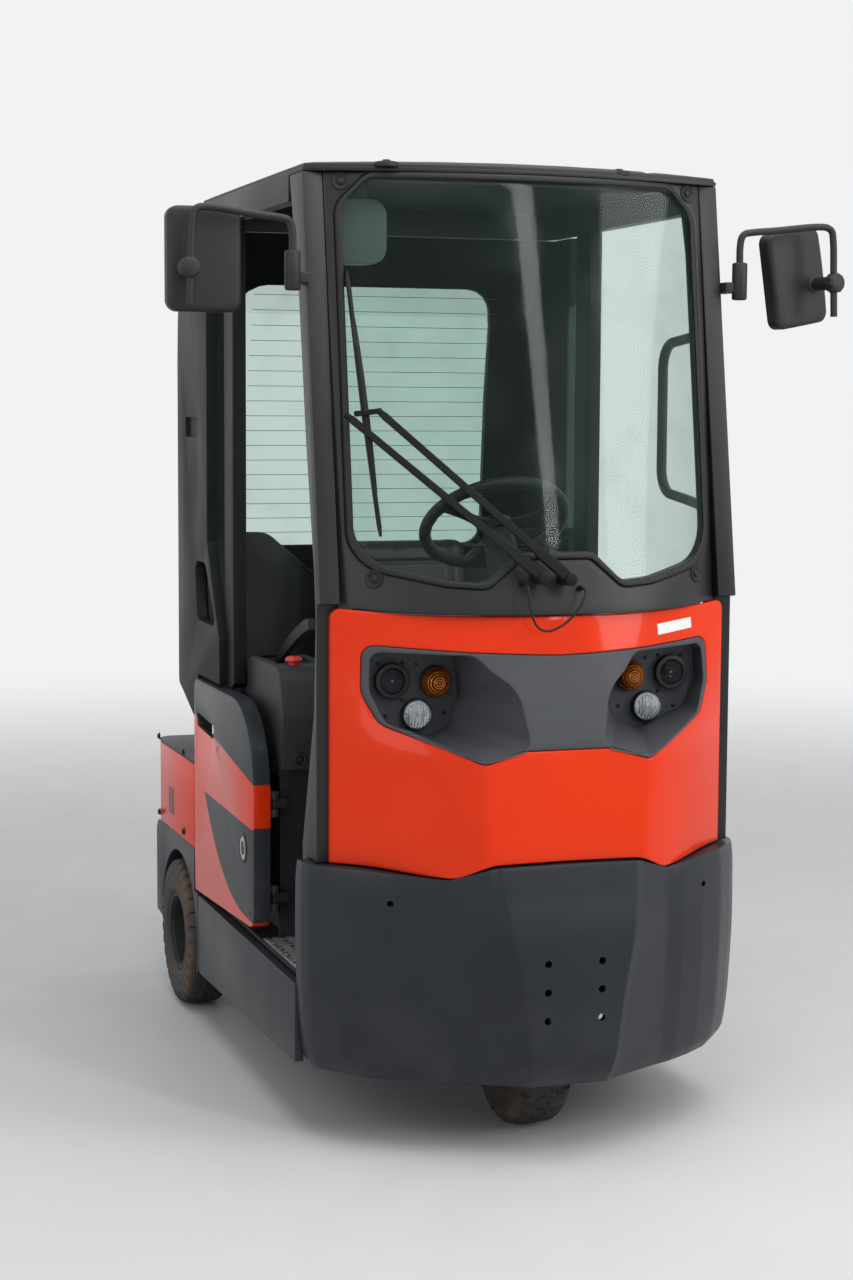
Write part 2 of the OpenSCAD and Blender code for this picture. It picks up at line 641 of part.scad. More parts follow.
module cab_windows() color("lightcyan", 0.3) {
    rear_pane();
    both_sides() side_plate(from_rear([
        [693, door_top + 155], [585 + fit, up(0.0894) + 1], [585 + fit, rail_bottom - 5],
        [693, rail_bottom - 5]]), pane_x, glass_wall - 1);
}

module door_posts() color("#17181b") both_sides()
    side_plate(from_rear([
        [785, door_top + 15], [765, door_top + 4], [715 + fit, door_top + 4], [715 + fit, door_top + 115],
        [694, door_top + 155], [694, rail_bottom - fit], [785, rail_bottom - fit]]),
        cab_half - 52, post_width);

module step_floor() color("gray") difference() {
    translate([-bay_half - 40, front_y + 375, deck_top])
        cube([2 * (bay_half + 40), bay_front - 2 - front_y - 375, plate_wall]);
    translate([0, front_axle_y, deck_top - 1]) cylinder(r = hump_outer + fit, h = 10);
}

module side_sills() color("#2a2c31") both_sides() {
    side_plate(rounded([
        [front_y + 357, 160, 4], [bay_rear - 38, 132, 20], [bay_rear - 38, sill_top, 8],
        [front_y + 357, sill_top, 4]], 3), half - 20, 20);
    translate([bay_half + 14 + rail_wall, front_y + 375, sill_top - 33])
        cube([half - 20 - bay_half - 14 - rail_wall, bay_rear - 70 - front_y - 375, 12]);
}

module seat_base() color("#2a2c31") {
    difference() {
        translate([-bay_half, bay_front, deck_top])
            cube([2 * bay_half, bay_rear - bay_front - 1, seat_deck_top - deck_top]);
        translate([-bay_half - 1, bay_front + bay_wall, deck_top - 1])
            cube([2 * bay_half + 2, bay_rear - bay_front - 2 * bay_wall - 1, seat_deck_top - deck_top - 17]);
    }
    both_sides() for (z = hinge_heights) {
        translate([bay_half - 4, hinge_y - 6, z]) cube([hinge_x - bay_half + 4, 12, lug_height]);
        translate([bay_half - 12, hinge_y - 6, z]) cube([12, bay_front - hinge_y + 10, lug_height]);
        translate([hinge_x, hinge_y, z]) cylinder(r = hinge_pin / 2 + 1.5, h = lug_height);
        translate([hinge_x, hinge_y, z - lug_height]) cylinder(d = hinge_pin, h = 3 * lug_height);
    }
}

module battery() color("#3a3d42") translate([21 - bay_half, bay_front + 30, deck_top])
    cube([2 * (bay_half - 21), bay_rear - bay_front - 55, seat_deck_top - 56 - deck_top]);

door_outline = rounded([
    [door_front, sill_top + 39, 40], [door_rear, sill_top + 9, 12], [door_rear, door_top, 30],
    [door_front, door_top, door_corner]], 8);

module battery_door() {
    middle = [(door_front + door_rear) / 2, (sill_top + door_top) / 2];
    difference() {
        side_plate(door_outline, door_inner, door_wall);
        side_plate([for (p = door_outline) mix(middle, p, 0.9)], door_inner - 1, door_wall - 12);
        side_plate(rounded([
            [door_rear - 215, door_top - 129, 10], [door_rear - 35, door_top - 117, 10],
            [door_rear - 35, door_top - 83, 10], [door_rear - 215, door_top - 95, 10]], 3),
            door_inner - 1, door_wall + 2);
    }
    for (h = hinge_heights, z = [h - lug_height, h + lug_height + 1]) difference() {
        union() {
            translate([hinge_x, hinge_y, z]) cylinder(r = hinge_pin, h = knuckle_height);
            translate([hinge_x, hinge_y - 8, z]) cube([door_inner - hinge_x + 2, 14, knuckle_height]);
        }
        translate([hinge_x, hinge_y, z - 1]) cylinder(d = hinge_pin + 2 * fit, h = knuckle_height + 2);
    }
}

module battery_door_right() color("#e83c19") mirror([1, 0, 0]) battery_door();

module battery_door_left() color("#e83c19") battery_door();

module side_consoles() color("#1f2125") both_sides() difference() {
    side_plate(rounded([
        [bay_front - 22, seat_deck_top, 0], [rear_y - 715, seat_deck_top, 0],
        [rear_y - 715, seat_deck_top + 148, 20], [rear_y - 795, console_top, 50],
        [bay_front, console_top, 45], [bay_front - 30, seat_deck_top + 123, 30]], 4),
        bay_half + 2 - console_width, console_width);
    translate([bay_half - console_width + 26, bay_front + 96, console_top - 22])
        cube([console_width - 48, 190, 40]);
}

module stop_button() color("crimson") translate([46 - bay_half, bay_front + 50, console_top]) {
    cylinder(d = 30, h = 10);
    translate([0, 0, 10]) cylinder(d = 40, h = 12);
}

module seat_cushion() color("#242424") side_plate(rounded(from_rear([
    [985, seat_deck_top + fit, 16], [545, seat_deck_top + fit, 16], [545, seat_top, 12],
    [630, seat_top, 60], [720, seat_top - 12, 120], [900, seat_top - 3, 120], [985, seat_top - 8, 40]]), 4),
    -seat_half, seat_width);

module seat_back() color("#242424") side_plate(rounded(from_rear([
    [615, seat_top + fit, 20], [543, seat_top + fit, 20], [487, seat_top + 388, 30],
    [555, seat_top + 403, 30]]), 4), 10 - seat_half, seat_width - 20);

module seat_surround() color("#1b1b1d") front_plate(rounded([
    [-pane_x, cab_foot + cab_wall + fit, 0], [pane_x, cab_foot + cab_wall + fit, 0],
    [pane_x, seat_top + 403, 40], [seat_half + 85, seat_top + 403, 60], [seat_half - 35, seat_top + 298, 60],
    [35 - seat_half, seat_top + 298, 60], [-seat_half - 85, seat_top + 403, 60],
    [-pane_x, seat_top + 403, 40]], 4), surround_y, 26);

// Instrument housing over the hump, with the steering column on the wheel's axis.
dash_foot_y = front_y + 370;
dash_knee = [front_y + 395, mix(floor_top, cover_top, 0.439)];
function dash_y(z) = mix(dash_foot_y, dash_knee.x, (z - floor_top) / (dash_knee.y - floor_top));
dash_outline = concat(from_front([
    [319, floor_top + fit], [319, cover_top - 114], [315, cover_top - 34], [355, cover_top - 4],
    [465, cover_top - 29], [479, cover_top - 94], [445, cover_top - 174]]),
    [dash_knee, [dash_foot_y, floor_top + fit]]);

module dash() color("#232427") {
    difference() {
        side_plate(dash_outline, 51 - pillar_half, 2 * (pillar_half - 51));
        translate([0, front_axle_y, 0]) cylinder(r = hump_outer + fit, h = hump_top + fit);
    }
    translate(wheel_centre) rotate([-steering_tilt, 0, 0]) {
        translate([0, 0, -220]) cylinder(r1 = 44, r2 = 34, h = 190 - fit);
        translate([0, 0, -40]) cylinder(r = column_r, h = 28);
    }
}

module steering_wheel() color("black") translate(wheel_centre) rotate([-steering_tilt, 0, 0]) {
    spoke = steering_wheel_diameter / 2 - 2 * wheel_grip_r;
    rotate_extrude($fn = 64) translate([steering_wheel_diameter / 2 - wheel_grip_r, 0])
        circle(r = wheel_grip_r, $fn = 16);
    difference() {
        rotate_extrude() polygon([[0, -30], [40, -30], [44, -18], [42, -4], [26, 2], [0, 3]]);
        translate([0, 0, -31]) cylinder(r = column_r + fit, h = 20);
    }
    for (a = [90, 210, 330]) rotate(a) translate([0, 0, -18]) linear_extrude(10)
        polygon([[30, -22], [spoke * 0.6, -13], [spoke + 8, -18],
                 [spoke + 8, 18], [spoke * 0.6, 13], [30, 22]]);
}

pedal_width = 66;
module pedals() color("#202020") for (x = [81, 176]) {
    translate([x - pillar_half, front_y + 415, floor_top + 75]) rotate([-18, 0, 0])
        cube([pedal_width, 10, 96]);
    side_plate([
        [front_y + 416, floor_top + 95], [front_y + 416, floor_top + 129],
        [dash_y(floor_top + 265) + fit, floor_top + 265], [dash_y(floor_top + 305) + fit, floor_top + 305],
        [front_y + 410, floor_top + 305], [front_y + 435, floor_top + 129], [front_y + 429, floor_top + 95]],
        x - pillar_half + pedal_width / 2 - 7, 14);
}

module rear_plan(grow, end, corner) {
    polygon(rounded([
        [-half - grow, bay_rear + 3 - grow, 0], [half + grow, bay_rear + 3 - grow, 0],
        [half + grow, rear_y - end, corner], [-half - grow, rear_y - end, corner]], 5));
}

module rear_body() color("#e83c19") difference() {
    translate([0, 0, rear_body_bottom]) linear_extrude(rear_deck_top - lid_wall - rear_body_bottom)
        rear_plan(0, 30, 40);
    translate([0, 0, rear_body_bottom - 6]) linear_extrude(rear_deck_top) rear_plan(-bay_wall, 44, 30);
}

module rear_deck() color("silver") translate([0, 0, rear_deck_top - lid_wall + fit])
    linear_extrude(lid_wall - fit) rear_plan(0, 25, 42);

fender_outline = rounded([
    [bay_rear - 33, 130, 8], [bay_rear + 10, 130, 0], [rear_y - 45, 190, 0], [rear_y - 10, 190, 10],
    [rear_y - 10, rear_body_bottom - fit, 40], [bay_rear + 3, rear_body_bottom - fit, 8],
    [bay_rear + 3, sill_top + 3, 0], [bay_rear - 33, sill_top + 3, 4]], 4);
module fenders() color("#2a2c31") both_sides() difference() {
    union() {
        side_plate(fender_outline, half - fender_wall, fender_wall);
        intersection() {
            cross_bar(liner_x, rear_axle_y, tyre_r, tyre_r + arch_gap + liner_wall,
                      half - fender_wall + 1 - liner_x);
            translate([0, bay_rear - 100, tyre_r]) cube([body_width, overall_length, tyre_diameter]);
        }
    }
    cross_bar(liner_x - 6, rear_axle_y, tyre_r, tyre_r + arch_gap, body_width);
}

module tail_lamps() color("firebrick") both_sides()
    translate([half - 105, rear_y - 30, (rear_body_bottom + rear_deck_top) / 2])
        rotate([-90, 0, 0]) rotate_extrude()
            polygon([[0, 0], [38, 0], [38, 14], [34, 19], [20, 22], [0, 23]]);

// Stepped jaw: four plates between two cheeks, with a pin through all of them.
jaw_x = 54;
module coupling_jaw() difference() {
    union() {
        translate([-80, rear_y - 80, jaw_low - 10]) cube([160, 20, 3 * jaw_step + 20]);
        for (k = [0 : 3]) translate([0, rear_y - jaw_r, jaw_low + k * jaw_step]) intersection() {
            cylinder(r = jaw_r, h = jaw_wall);
            translate([-jaw_r, 0, 0]) cube([2 * jaw_r, jaw_r, jaw_wall]);
        }
        for (s = [-1, 1]) translate([s * jaw_x - 8, rear_y - 70, jaw_low])
            cube([16, 30, 3 * jaw_step + jaw_wall]);
    }
    translate([0, rear_y - 30, jaw_low - 20]) cylinder(r = jaw_pin_r + fit, h = 300);
}

module tow_coupling() {
    color("#303236") coupling_jaw();
    color("silver") translate([0, rear_y - 30, jaw_low - 6]) {
        cylinder(r = jaw_pin_r, h = 3 * jaw_step + 40);
        translate([0, 0, 3 * jaw_step + 40]) cylinder(r = 20, h = 8);
    }
}

// Mirror arms stand in clamps on the pillars; the left plate is turned to the driver.
mirror_z = up(0.7296);
mirror_wall = 40;
mirror_corner = 24;
mirror_rise = 20;
knob_r = 22;
knob_offset = 41;
knob_nose = 14;
clamp_x = pillar_half + 36;
clamp_y = front_y + 347;
knob_y = front_y + 333;

// Reach of a turned and leaning mirror outwards from its knob.
function mirror_support(turn, lean, back) =
    let (across = (mirror_width / 2 - knob_offset - mirror_corner) * cos(lean)
             + (mirror_height / 2 - mirror_rise - mirror_corner) * sin(lean) + mirror_corner)
        max(across * cos(turn) - (back - mirror_wall / 2) * sin(turn),
            knob_r * cos(turn) + knob_nose * sin(turn));

module mirror_set(turn, lean, back) {
    knob_x = mirror_reach - mirror_support(turn, lean, back);
    translate([pillar_half, clamp_y - 6, mirror_z + 8]) cube([clamp_x - pillar_half, 66, 24]);
    translate([clamp_x, clamp_y, mirror_z - 8]) cylinder(r = 17, h = 84);
    tube_along(bends([
        [clamp_x, clamp_y, mirror_z + 60, 0], [clamp_x, clamp_y, mirror_z + 140, 28],
        [knob_x - 12, knob_y, mirror_z + 161, 32], [knob_x, knob_y, mirror_z - 42, 0]]), 8);
    translate([knob_x, knob_y, mirror_z + 35]) rotate([0, 0, turn]) rotate([0, -lean, 0]) {
        translate([0, -knob_nose, 0]) rotate([-90, 0, 0]) cylinder(r = knob_r, h = knob_nose + back);
        translate([-knob_offset, back, mirror_rise]) rotate([90, 0, 0])
            linear_extrude(mirror_wall, center = true) polygon(rounded(
                [for (c = [[-1, -1], [1, -1], [1, 1], [-1, 1]])
                    [c.x * mirror_width / 2, c.y * mirror_height / 2, mirror_corner]], 8));
    }
}

module mirrors() color("#17181b") {
    mirror_set(mirror_turn, mirror_lean, 84);
    mirror([1, 0, 0]) mirror_set(0, 0, 54);
}

// Two wiper arms on pivots in the frame's foot, joined behind the blade.
wiper_pivots = [[-50, cover_top + 65], [9, cover_top + 61]];
wiper_joints = [[47.7 - screen_half, up(0.4393)], [116.7 - screen_half, up(0.4481)]];
blade_x = 87.7 - screen_half;
wiper_clear = 26;
function before_screen(x, z, d) = [x, screen_y(x, z) - d, z];
module wiper() color("black") {
    for (k = [0, 1]) {
        p = wiper_pivots[k];
        j = wiper_joints[k];
        translate([p.x, front_y + 67, p.y]) rotate([-90, 0, 0])
            cylinder(r = 14, h = screen_y(p.x, p.y) + 3.1 - front_y - 67);
        tube_along([[p.x, front_y + 76, p.y], before_screen(j.x, j.y, wiper_clear)], 6, 8);
    }
    tube_along([before_screen(blade_x - 47, up(0.4371), wiper_clear),
                before_screen(blade_x + 39, up(0.4503), wiper_clear)], 7, 8);
    tube_along([before_screen(blade_x - 18, up(0.7682), -2), before_screen(blade_x, up(0.4481), 6),
                before_screen(blade_x + 20, up(0.1611), -2)], 6, 8);
    translate(before_screen(blade_x, up(0.4448), 6)) rotate([90, 0, 0]) cylinder(r = 8, h = 24);
    for (g = hose_glands) translate(before_screen(g.x, g.y, -5))
        rotate([90, 0, 0]) cylinder(r = 6, h = 17);
}

// Bent bar behind the left pillar.
handle_x = pillar_half - 21;
handle_top = up(0.639);
handle_foot = up(0.2097);
module grab_handle() color("#17181b") tube_along(bends([
    [handle_x, pillar_rear_y(handle_top) + 2.9, handle_top, 0], [handle_x, front_y + 625, up(0.6192), 60],
    [handle_x, front_y + 625, up(0.2494), 60],
    [handle_x, pillar_rear_y(handle_foot) + 4.3, handle_foot, 0]]), 12);

hose_r = 2.5;
hose_glands = [[46, cover_top + 40], [-82, cover_top + 52]];
hose_route = concat(
    [before_screen(46, hose_glands[0].y, 12.9)],
    [for (p = [[46, 87, 38], [43, 77, 30], [36, 73, 16], [27, 74, 0], [15, 76, -15], [0, 78, -29],
               [-17, 79, -39], [-35, 80, -45], [-51, 80, -43], [-64, 79, -33], [-73, 77, -17],
               [-79, 75, 1], [-82, 75, 20], [-82, 79, 38], [-82, 87, 49]])
        [p.x, front_y + p.y, cover_top + p.z]],
    [before_screen(-82, hose_glands[1].y, 12.9)]);

module washer_hose() color("black") tube_along(hose_route, hose_r, 8);

// Fork that carries the steered wheel below the hump's turntable plate.
fork_gap = 16;
fork_wall = 16;
module steer_fork() color("#33363b") translate([0, front_axle_y, 0]) {
    translate([0, 0, tyre_diameter + 14]) cylinder(r = 100, h = 28);
    translate([0, 0, tyre_diameter + 42]) cylinder(r = 60, h = turntable_z - fit - tyre_diameter - 42);
    for (s = [-1, 1]) {
        translate([s * (tyre_width / 2 + fork_gap) - fork_wall / 2, -45, tyre_r - 35])
            cube([fork_wall, 90, tyre_r + 60]);
        translate([s * (tyre_width / 2 + fork_gap / 2), 0, tyre_r]) rotate([0, s * 90, 0])
            cylinder(r = 48, h = fork_wall);
    }
    cross_bar(-tyre_width / 2 - fork_gap, 0, tyre_r, axle_r, tyre_width + 2 * fork_gap);
}

// Tyre lying on its side: its axis is Z and it is centred on the origin.
module tyre() color("#26231f") {
    w = tyre_width / 2;
    rotate_extrude($fn = 64) polygon([
        [rim_r + fit, 11 - w], [rim_r + 14, 3 - w], [rim_r + 50, -w], [tyre_r - 16, 3 - w],
        [tyre_r - 4, 14 - w], [tyre_r, 30 - w], [tyre_r, w - 30], [tyre_r - 4, w - 14],
        [tyre_r - 16, w - 3], [rim_r + 50, w], [rim_r + 14, w - 3], [rim_r + fit, w - 11]]);
}

// Rim lying on its side: a deep dish with its open side towards +Z.
bolt_circle_r = rim_r - 43.5;
module rim() color("#1d1e21") difference() {
    w = tyre_width / 2 - 7;
    rotate_extrude($fn = 64) polygon([
        [axle_r + fit, -30], [rim_r - 31.5, -30], [rim_r - 17.5, -20], [rim_r - 13.5, -w], [rim_r, -w],
        [rim_r, w], [rim_r - 9.5, w], [rim_r - 13.5, w - 10], [rim_r - 17.5, -6], [rim_r - 31.5, -16],
        [axle_r + 20, -16], [axle_r + 17, 4], [axle_r + fit, 4]]);
    for (k = [0 : 4]) rotate(k * 72) translate([bolt_circle_r, 0, -40]) cylinder(r = 8, h = 40);
}

module front_rim() translate([0, front_axle_y, tyre_r]) rotate([0, 90, 0]) rim();

module front_tyre() translate([0, front_axle_y, tyre_r]) rotate([0, 90, 0]) tyre();

module rear_axle() color("#33363b") {
    cross_bar(32 - rear_wheel_x, rear_axle_y, tyre_r, axle_tube_r, 2 * rear_wheel_x - 64);
    cross_bar(-rear_wheel_x - 6, rear_axle_y, tyre_r, axle_r, 2 * rear_wheel_x + 12);
    for (s = [-1, 1]) translate([s * (member_x - 32) - 20, rear_axle_y - 50, tyre_r]) cube([40, 100, 120]);
}

module rear_rim(s) translate([s * rear_wheel_x, rear_axle_y, tyre_r]) rotate([0, s * 90, 0]) rim();

module rear_tyre(s) translate([s * rear_wheel_x, rear_axle_y, tyre_r]) rotate([0, s * 90, 0]) tyre();

chassis();
front_bumper();
front_cover();
lamp_mask();
head_lamps();
turn_lamps();
windscreen_frame();
windscreen_seal();
windscreen();
front_pillars();
roof_frame();
roof_panel();
roof_housing();
rear_cab();
cab_windows();
door_posts();
step_floor();
side_sills();
seat_base();
battery();
battery_door_right();
battery_door_left();
side_consoles();
stop_button();
seat_cushion();
seat_back();
seat_surround();
dash();
steering_wheel();
pedals();
rear_body();
rear_deck();
fenders();
tail_lamps();
tow_coupling();
mirrors();
wiper();
grab_handle();
washer_hose();
steer_fork();
front_rim();
front_tyre();
rear_axle();
rear_rim(-1);  // rear_rim_right
rear_tyre(-1);  // rear_tyre_right
rear_rim(1);  // rear_rim_left
rear_tyre(1);  // rear_tyre_left
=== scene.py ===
import math

import bmesh
import bpy
import numpy as np
from mathutils import Matrix, Vector
from mathutils.geometry import delaunay_2d_cdt


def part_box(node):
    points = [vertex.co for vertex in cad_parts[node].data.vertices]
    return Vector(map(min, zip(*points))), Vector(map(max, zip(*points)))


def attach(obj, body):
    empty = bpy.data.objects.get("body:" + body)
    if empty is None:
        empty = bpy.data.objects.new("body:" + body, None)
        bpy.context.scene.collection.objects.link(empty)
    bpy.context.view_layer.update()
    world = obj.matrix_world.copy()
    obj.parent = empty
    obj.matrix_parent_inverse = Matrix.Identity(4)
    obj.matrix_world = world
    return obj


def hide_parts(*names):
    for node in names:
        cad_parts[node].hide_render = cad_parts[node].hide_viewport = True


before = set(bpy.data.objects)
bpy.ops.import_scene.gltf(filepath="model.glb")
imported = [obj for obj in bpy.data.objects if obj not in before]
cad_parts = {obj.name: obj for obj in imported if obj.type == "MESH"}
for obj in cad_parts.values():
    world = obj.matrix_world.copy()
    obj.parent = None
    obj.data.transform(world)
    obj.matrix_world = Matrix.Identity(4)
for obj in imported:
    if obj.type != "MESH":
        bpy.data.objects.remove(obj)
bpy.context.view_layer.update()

# Camera: a long lens at eye height, in front of the tug and to its right,
# looking slightly down, turned a third of a degree.
yaw, pitch, roll = 0.3194, 0.1005, 0.0055
focal_pixels, photo_height, film_side = 2293.02, 1280, 36
ahead = Vector((math.sin(yaw) * math.cos(pitch), math.cos(yaw) * math.cos(pitch), -math.sin(pitch)))
level = Vector((math.cos(yaw), -math.sin(yaw), 0))
upright = level.cross(ahead)
right = level * math.cos(roll) + upright * math.sin(roll)
top = upright * math.cos(roll) - level * math.sin(roll)
camera_data = bpy.data.cameras.new("eye")
camera_data.lens = focal_pixels / photo_height * film_side
camera_data.clip_end = 60
camera = bpy.data.objects.new("eye", camera_data)
turned_to = Matrix((right, top, -ahead)).transposed().to_4x4()
camera.matrix_world = Matrix.Translation((-1.7564, -5.2305, 1.5645)) @ turned_to
bpy.context.scene.collection.objects.link(camera)
bpy.context.scene.camera = camera
bpy.context.scene.view_settings.view_transform = "Standard"


# Washer hose: a thin black rubber tube that leaves the windscreen's foot, hangs in one
# short loop in front of the orange cover and goes back in beside the wiper pivots.
class Wire:
    """One shader socket: sums on it add Math nodes, and node() adds any other."""

    def __init__(self, tree, socket):
        self.tree, self.socket = tree, socket

    def node(self, kind, values=(), out=0, **settings):
        made = self.tree.nodes.new("ShaderNode" + kind)
        for key, value in settings.items():
            setattr(made, key, value)
        for key, value in dict(values).items():
            if isinstance(value, Wire):
                self.tree.links.new(value.socket, made.inputs[key])
            else:
                made.inputs[key].default_value = value
        return Wire(self.tree, made.outputs[out])

    def maths(self, operation, *terms):
        vector = any(isinstance(t, Wire) and t.socket.type == "VECTOR" for t in terms)
        if vector:
            terms = [t if isinstance(t, (Wire, tuple)) else (t, t, t) for t in terms]
        return self.node("VectorMath" if vector else "Math", dict(enumerate(terms)),
                         operation=operation)

    __add__ = __radd__ = lambda self, other: self.maths("ADD", self, other)
    __sub__ = lambda self, other: self.maths("SUBTRACT", self, other)
    __rsub__ = lambda self, other: self.maths("SUBTRACT", other, self)
    __mul__ = __rmul__ = lambda self, other: self.maths("MULTIPLY", self, other)
    __pow__ = lambda self, other: self.maths("POWER", self, other)
    least = lambda self, other: self.maths("MINIMUM", self, other)
    most = lambda self, other: self.maths("MAXIMUM", self, other)
    size = lambda self: self.maths("ABSOLUTE", self)
    sine = lambda self: self.maths("SINE", self)

    def ease(self, low=0.3, high=0.7, start=0.0, end=1.0):
        """Go smoothly from start to end while the value goes from low to high."""
        values = {0: self, 1: low, 2: high, 3: start, 4: end}
        return self.node("MapRange", values, interpolation_type="SMOOTHSTEP")

    def spread(self, start, end):
        return self.ease(start=start, end=end)

    def mix(self, first, second):
        first, second = (c if isinstance(c, Wire) else (*c, 1.0) for c in (first, second))
        return self.node("Mix", {0: self, 6: first, 7: second}, 2, data_type="RGBA")

    def tones(self, first, second):
        return self.ease().mix(first, second)

    def noise(self, scale, detail=3.0, rough=0.5):
        values = {"Vector": self, "Scale": scale, "Detail": detail, "Roughness": rough}
        return self.node("TexNoise", values)

    def cells(self, scale, out="Distance"):
        return self.node("TexVoronoi", {"Vector": self, "Scale": scale}, out)

    def axes(self):
        return [self.node("SeparateXYZ", {0: self}, k) for k in range(3)]


def place_on(tree):
    """Object coordinates in a material's tree."""
    return Wire(tree, tree.nodes.new("ShaderNodeTexCoord").outputs["Object"])


def surface(name, vary, **fixed):
    """A material whose varying inputs come from vary(place); relief is (height, metres deep)."""
    made = bpy.data.materials.new(name)
    made.use_nodes = True
    tree = made.node_tree
    shader = tree.nodes["Principled BSDF"]
    for key, value in fixed.items():
        if isinstance(value, tuple):
            value = (*value, 1.0)
        shader.inputs[key.replace("_", " ")].default_value = value
    place = place_on(tree)
    for key, wire in vary(place).items():
        if key == "relief":
            wire = place.node("Bump", {"Height": wire[0], "Distance": wire[1], "Strength": 1.0})
            key = "Normal"
        tree.links.new(wire.socket, shader.inputs[key])
    return made


def rubbery(name, colour, dusty, grain=900.0, rough=0.62, dust=0.0):
    """Rubber or moulded plastic: fine grain, paler scuffs, and dust, thicker near the ground."""

    def vary(place):
        broad = place.noise(5.0, 4.0)
        scuff = (place * (1.0, 1.0, 6.0)).noise(26.0, 5.0, 0.6).ease(0.56, 0.74)
        low = place.axes()[2].ease(0.15, 0.75, 1.0, 0.0) * dust
        veil = (broad.ease(0.3, 0.75) * (0.10 + low) + scuff * 0.10).least(0.9)
        return {"Base Color": veil.mix(colour, dusty),
                "Roughness": (broad * 0.14 + scuff * 0.10 + (rough - 0.10)).least(0.95),
                "relief": (place.cells(grain).ease(0.0, 0.7) + scuff * 0.4, 0.00012)}

    return surface(name, vary, Specular_IOR_Level=0.28)


def outward(mesh):
    """Turn every face outwards."""
    work = bmesh.new()
    work.from_mesh(mesh)
    bmesh.ops.recalc_face_normals(work, faces=work.faces)
    work.to_mesh(mesh)
    work.free()
    return mesh


def meshed(name, points, faces):
    """A mesh of these points and faces, its faces turned outwards."""
    mesh = bpy.data.meshes.new(name)
    mesh.from_pydata([tuple(p) for p in points], [], [tuple(f) for f in faces])
    return outward(mesh)


def fitted(name, mesh, materials, slot, replaced=(), sharp=40.0, body="vehicle"):
    """A finished mesh as a piece in place: smooth apart from edges sharper than the angle."""
    outward(mesh)
    mesh.polygons.foreach_set("use_smooth", [True] * len(mesh.polygons))
    mesh.set_sharp_from_angle(angle=math.radians(sharp))
    mesh.materials.clear()
    for material in materials if isinstance(materials, list) else [materials]:
        mesh.materials.append(material)
    made = bpy.data.objects.new(name, mesh)
    bpy.context.scene.collection.objects.link(made)
    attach(made, body)
    if replaced:
        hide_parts(*replaced)
    return made


def piece(name, form, *finish, **more):
    """A piece from a form, which is (points, faces)."""
    return fitted(name, meshed(name, *form), *finish, **more)


def skin(rows, across, closed=True, looped=False):
    """Four-sided faces between rows of points; closed joins the ends of each row, looped the
    last row to the first."""
    total = rows * across
    return [tuple(i % total for i in (a + j, a + m, a + across + m, a + across + j))
            for a in range(0, total if looped else total - across, across)
            for j in range(across if closed else across - 1) for m in [(j + 1) % across]]


def ends(rows, across):
    """The two faces that close a skin at its first and last row."""
    return [tuple(reversed(range(across))), tuple(range((rows - 1) * across, rows * across))]


def listed(value, count):
    """A list of values, one for each point of a route."""
    return [value] * count if isinstance(value, (int, float)) else value


def tube(route, radius, sides=12):
    """A round bar along a route; radius is one number or one for each point."""
    route = [Vector(p) for p in route]
    count = len(route)
    run = [(route[min(k + 1, count - 1)] - route[max(k - 1, 0)]).normalized() for k in range(count)]
    side = run[0].cross((0, 1, 0) if abs(run[0].z) > 0.9 else (0, 0, 1)).normalized()
    points = []
    for middle, ahead_here, r in zip(route, run, listed(radius, count)):
        side = (side - ahead_here * side.dot(ahead_here)).normalized()
        other = side.cross(ahead_here)
        for j in range(sides):
            a = 2 * math.pi * j / sides
            points.append(middle + r * (side * math.cos(a) + other * math.sin(a)))
    return points, skin(count, sides) + ends(count, sides)


def curved(points, between=6):
    """More points along a smooth line through these ones."""
    p = [Vector(q) for q in points]
    p = [2 * p[0] - p[1]] + p + [2 * p[-1] - p[-2]]
    out = []
    for k in range(1, len(p) - 2):
        for t in (j / between for j in range(between)):
            out.append(0.5 * (2 * p[k] + (p[k + 1] - p[k - 1]) * t
                              + (2 * p[k - 1] - 5 * p[k] + 4 * p[k + 1] - p[k + 2]) * t ** 2
                              + (3 * p[k] - p[k - 1] - 3 * p[k + 1] + p[k + 2]) * t ** 3))
    return out + [p[-2]]


screen_foot, screen_rise = 1.154, 0.906
foot_bend, head_bend = 0.620, 1.170


def screen_y(x, z):
    """Outer face of the windscreen: bowed more at its foot than at its head."""
    share = (z - screen_foot) / screen_rise
    r = 1 / (1 / foot_bend + (1 / head_bend - 1 / foot_bend) * share)
    return -0.812 + 0.208 * share + r - math.sqrt(r * r - x * x)


hose_glands = ((0.046, 1.194), (-0.082, 1.206))
hose_ends = [(x, screen_y(x, z) - 0.0129, z) for x, z in hose_glands]
hose_loop = [(x / 1000, (y - 915) / 1000, (z + 1154) / 1000) for x, y, z in (
    (46, 87, 38), (43, 77, 30), (36, 73, 16), (27, 74, 0), (15, 76, -15), (0, 78, -29),
    (-17, 79, -39),
    (-35, 80, -45), (-51, 80, -43), (-64, 79, -33), (-73, 77, -17), (-79, 75, 1), (-82, 75, 20),
    (-82, 79, 38), (-82, 87, 49))]
hose_path = curved([hose_ends[0], *hose_loop, hose_ends[1]], 5)
hose_thick = 0.005
hose_rubber = rubbery("hose rubber", (0.008, 0.008, 0.009), (0.035, 0.034, 0.033), 2600.0, 0.5)
hose = piece("washer_hose_tube", tube(hose_path, hose_thick / 2, 14), hose_rubber, "black_moulding",
             ("washer_hose",), 35)
tuple(hose_path[0])
sum((b - a).length for a, b in zip(hose_path, hose_path[1:]))
[tuple(p) for p in hose_path]


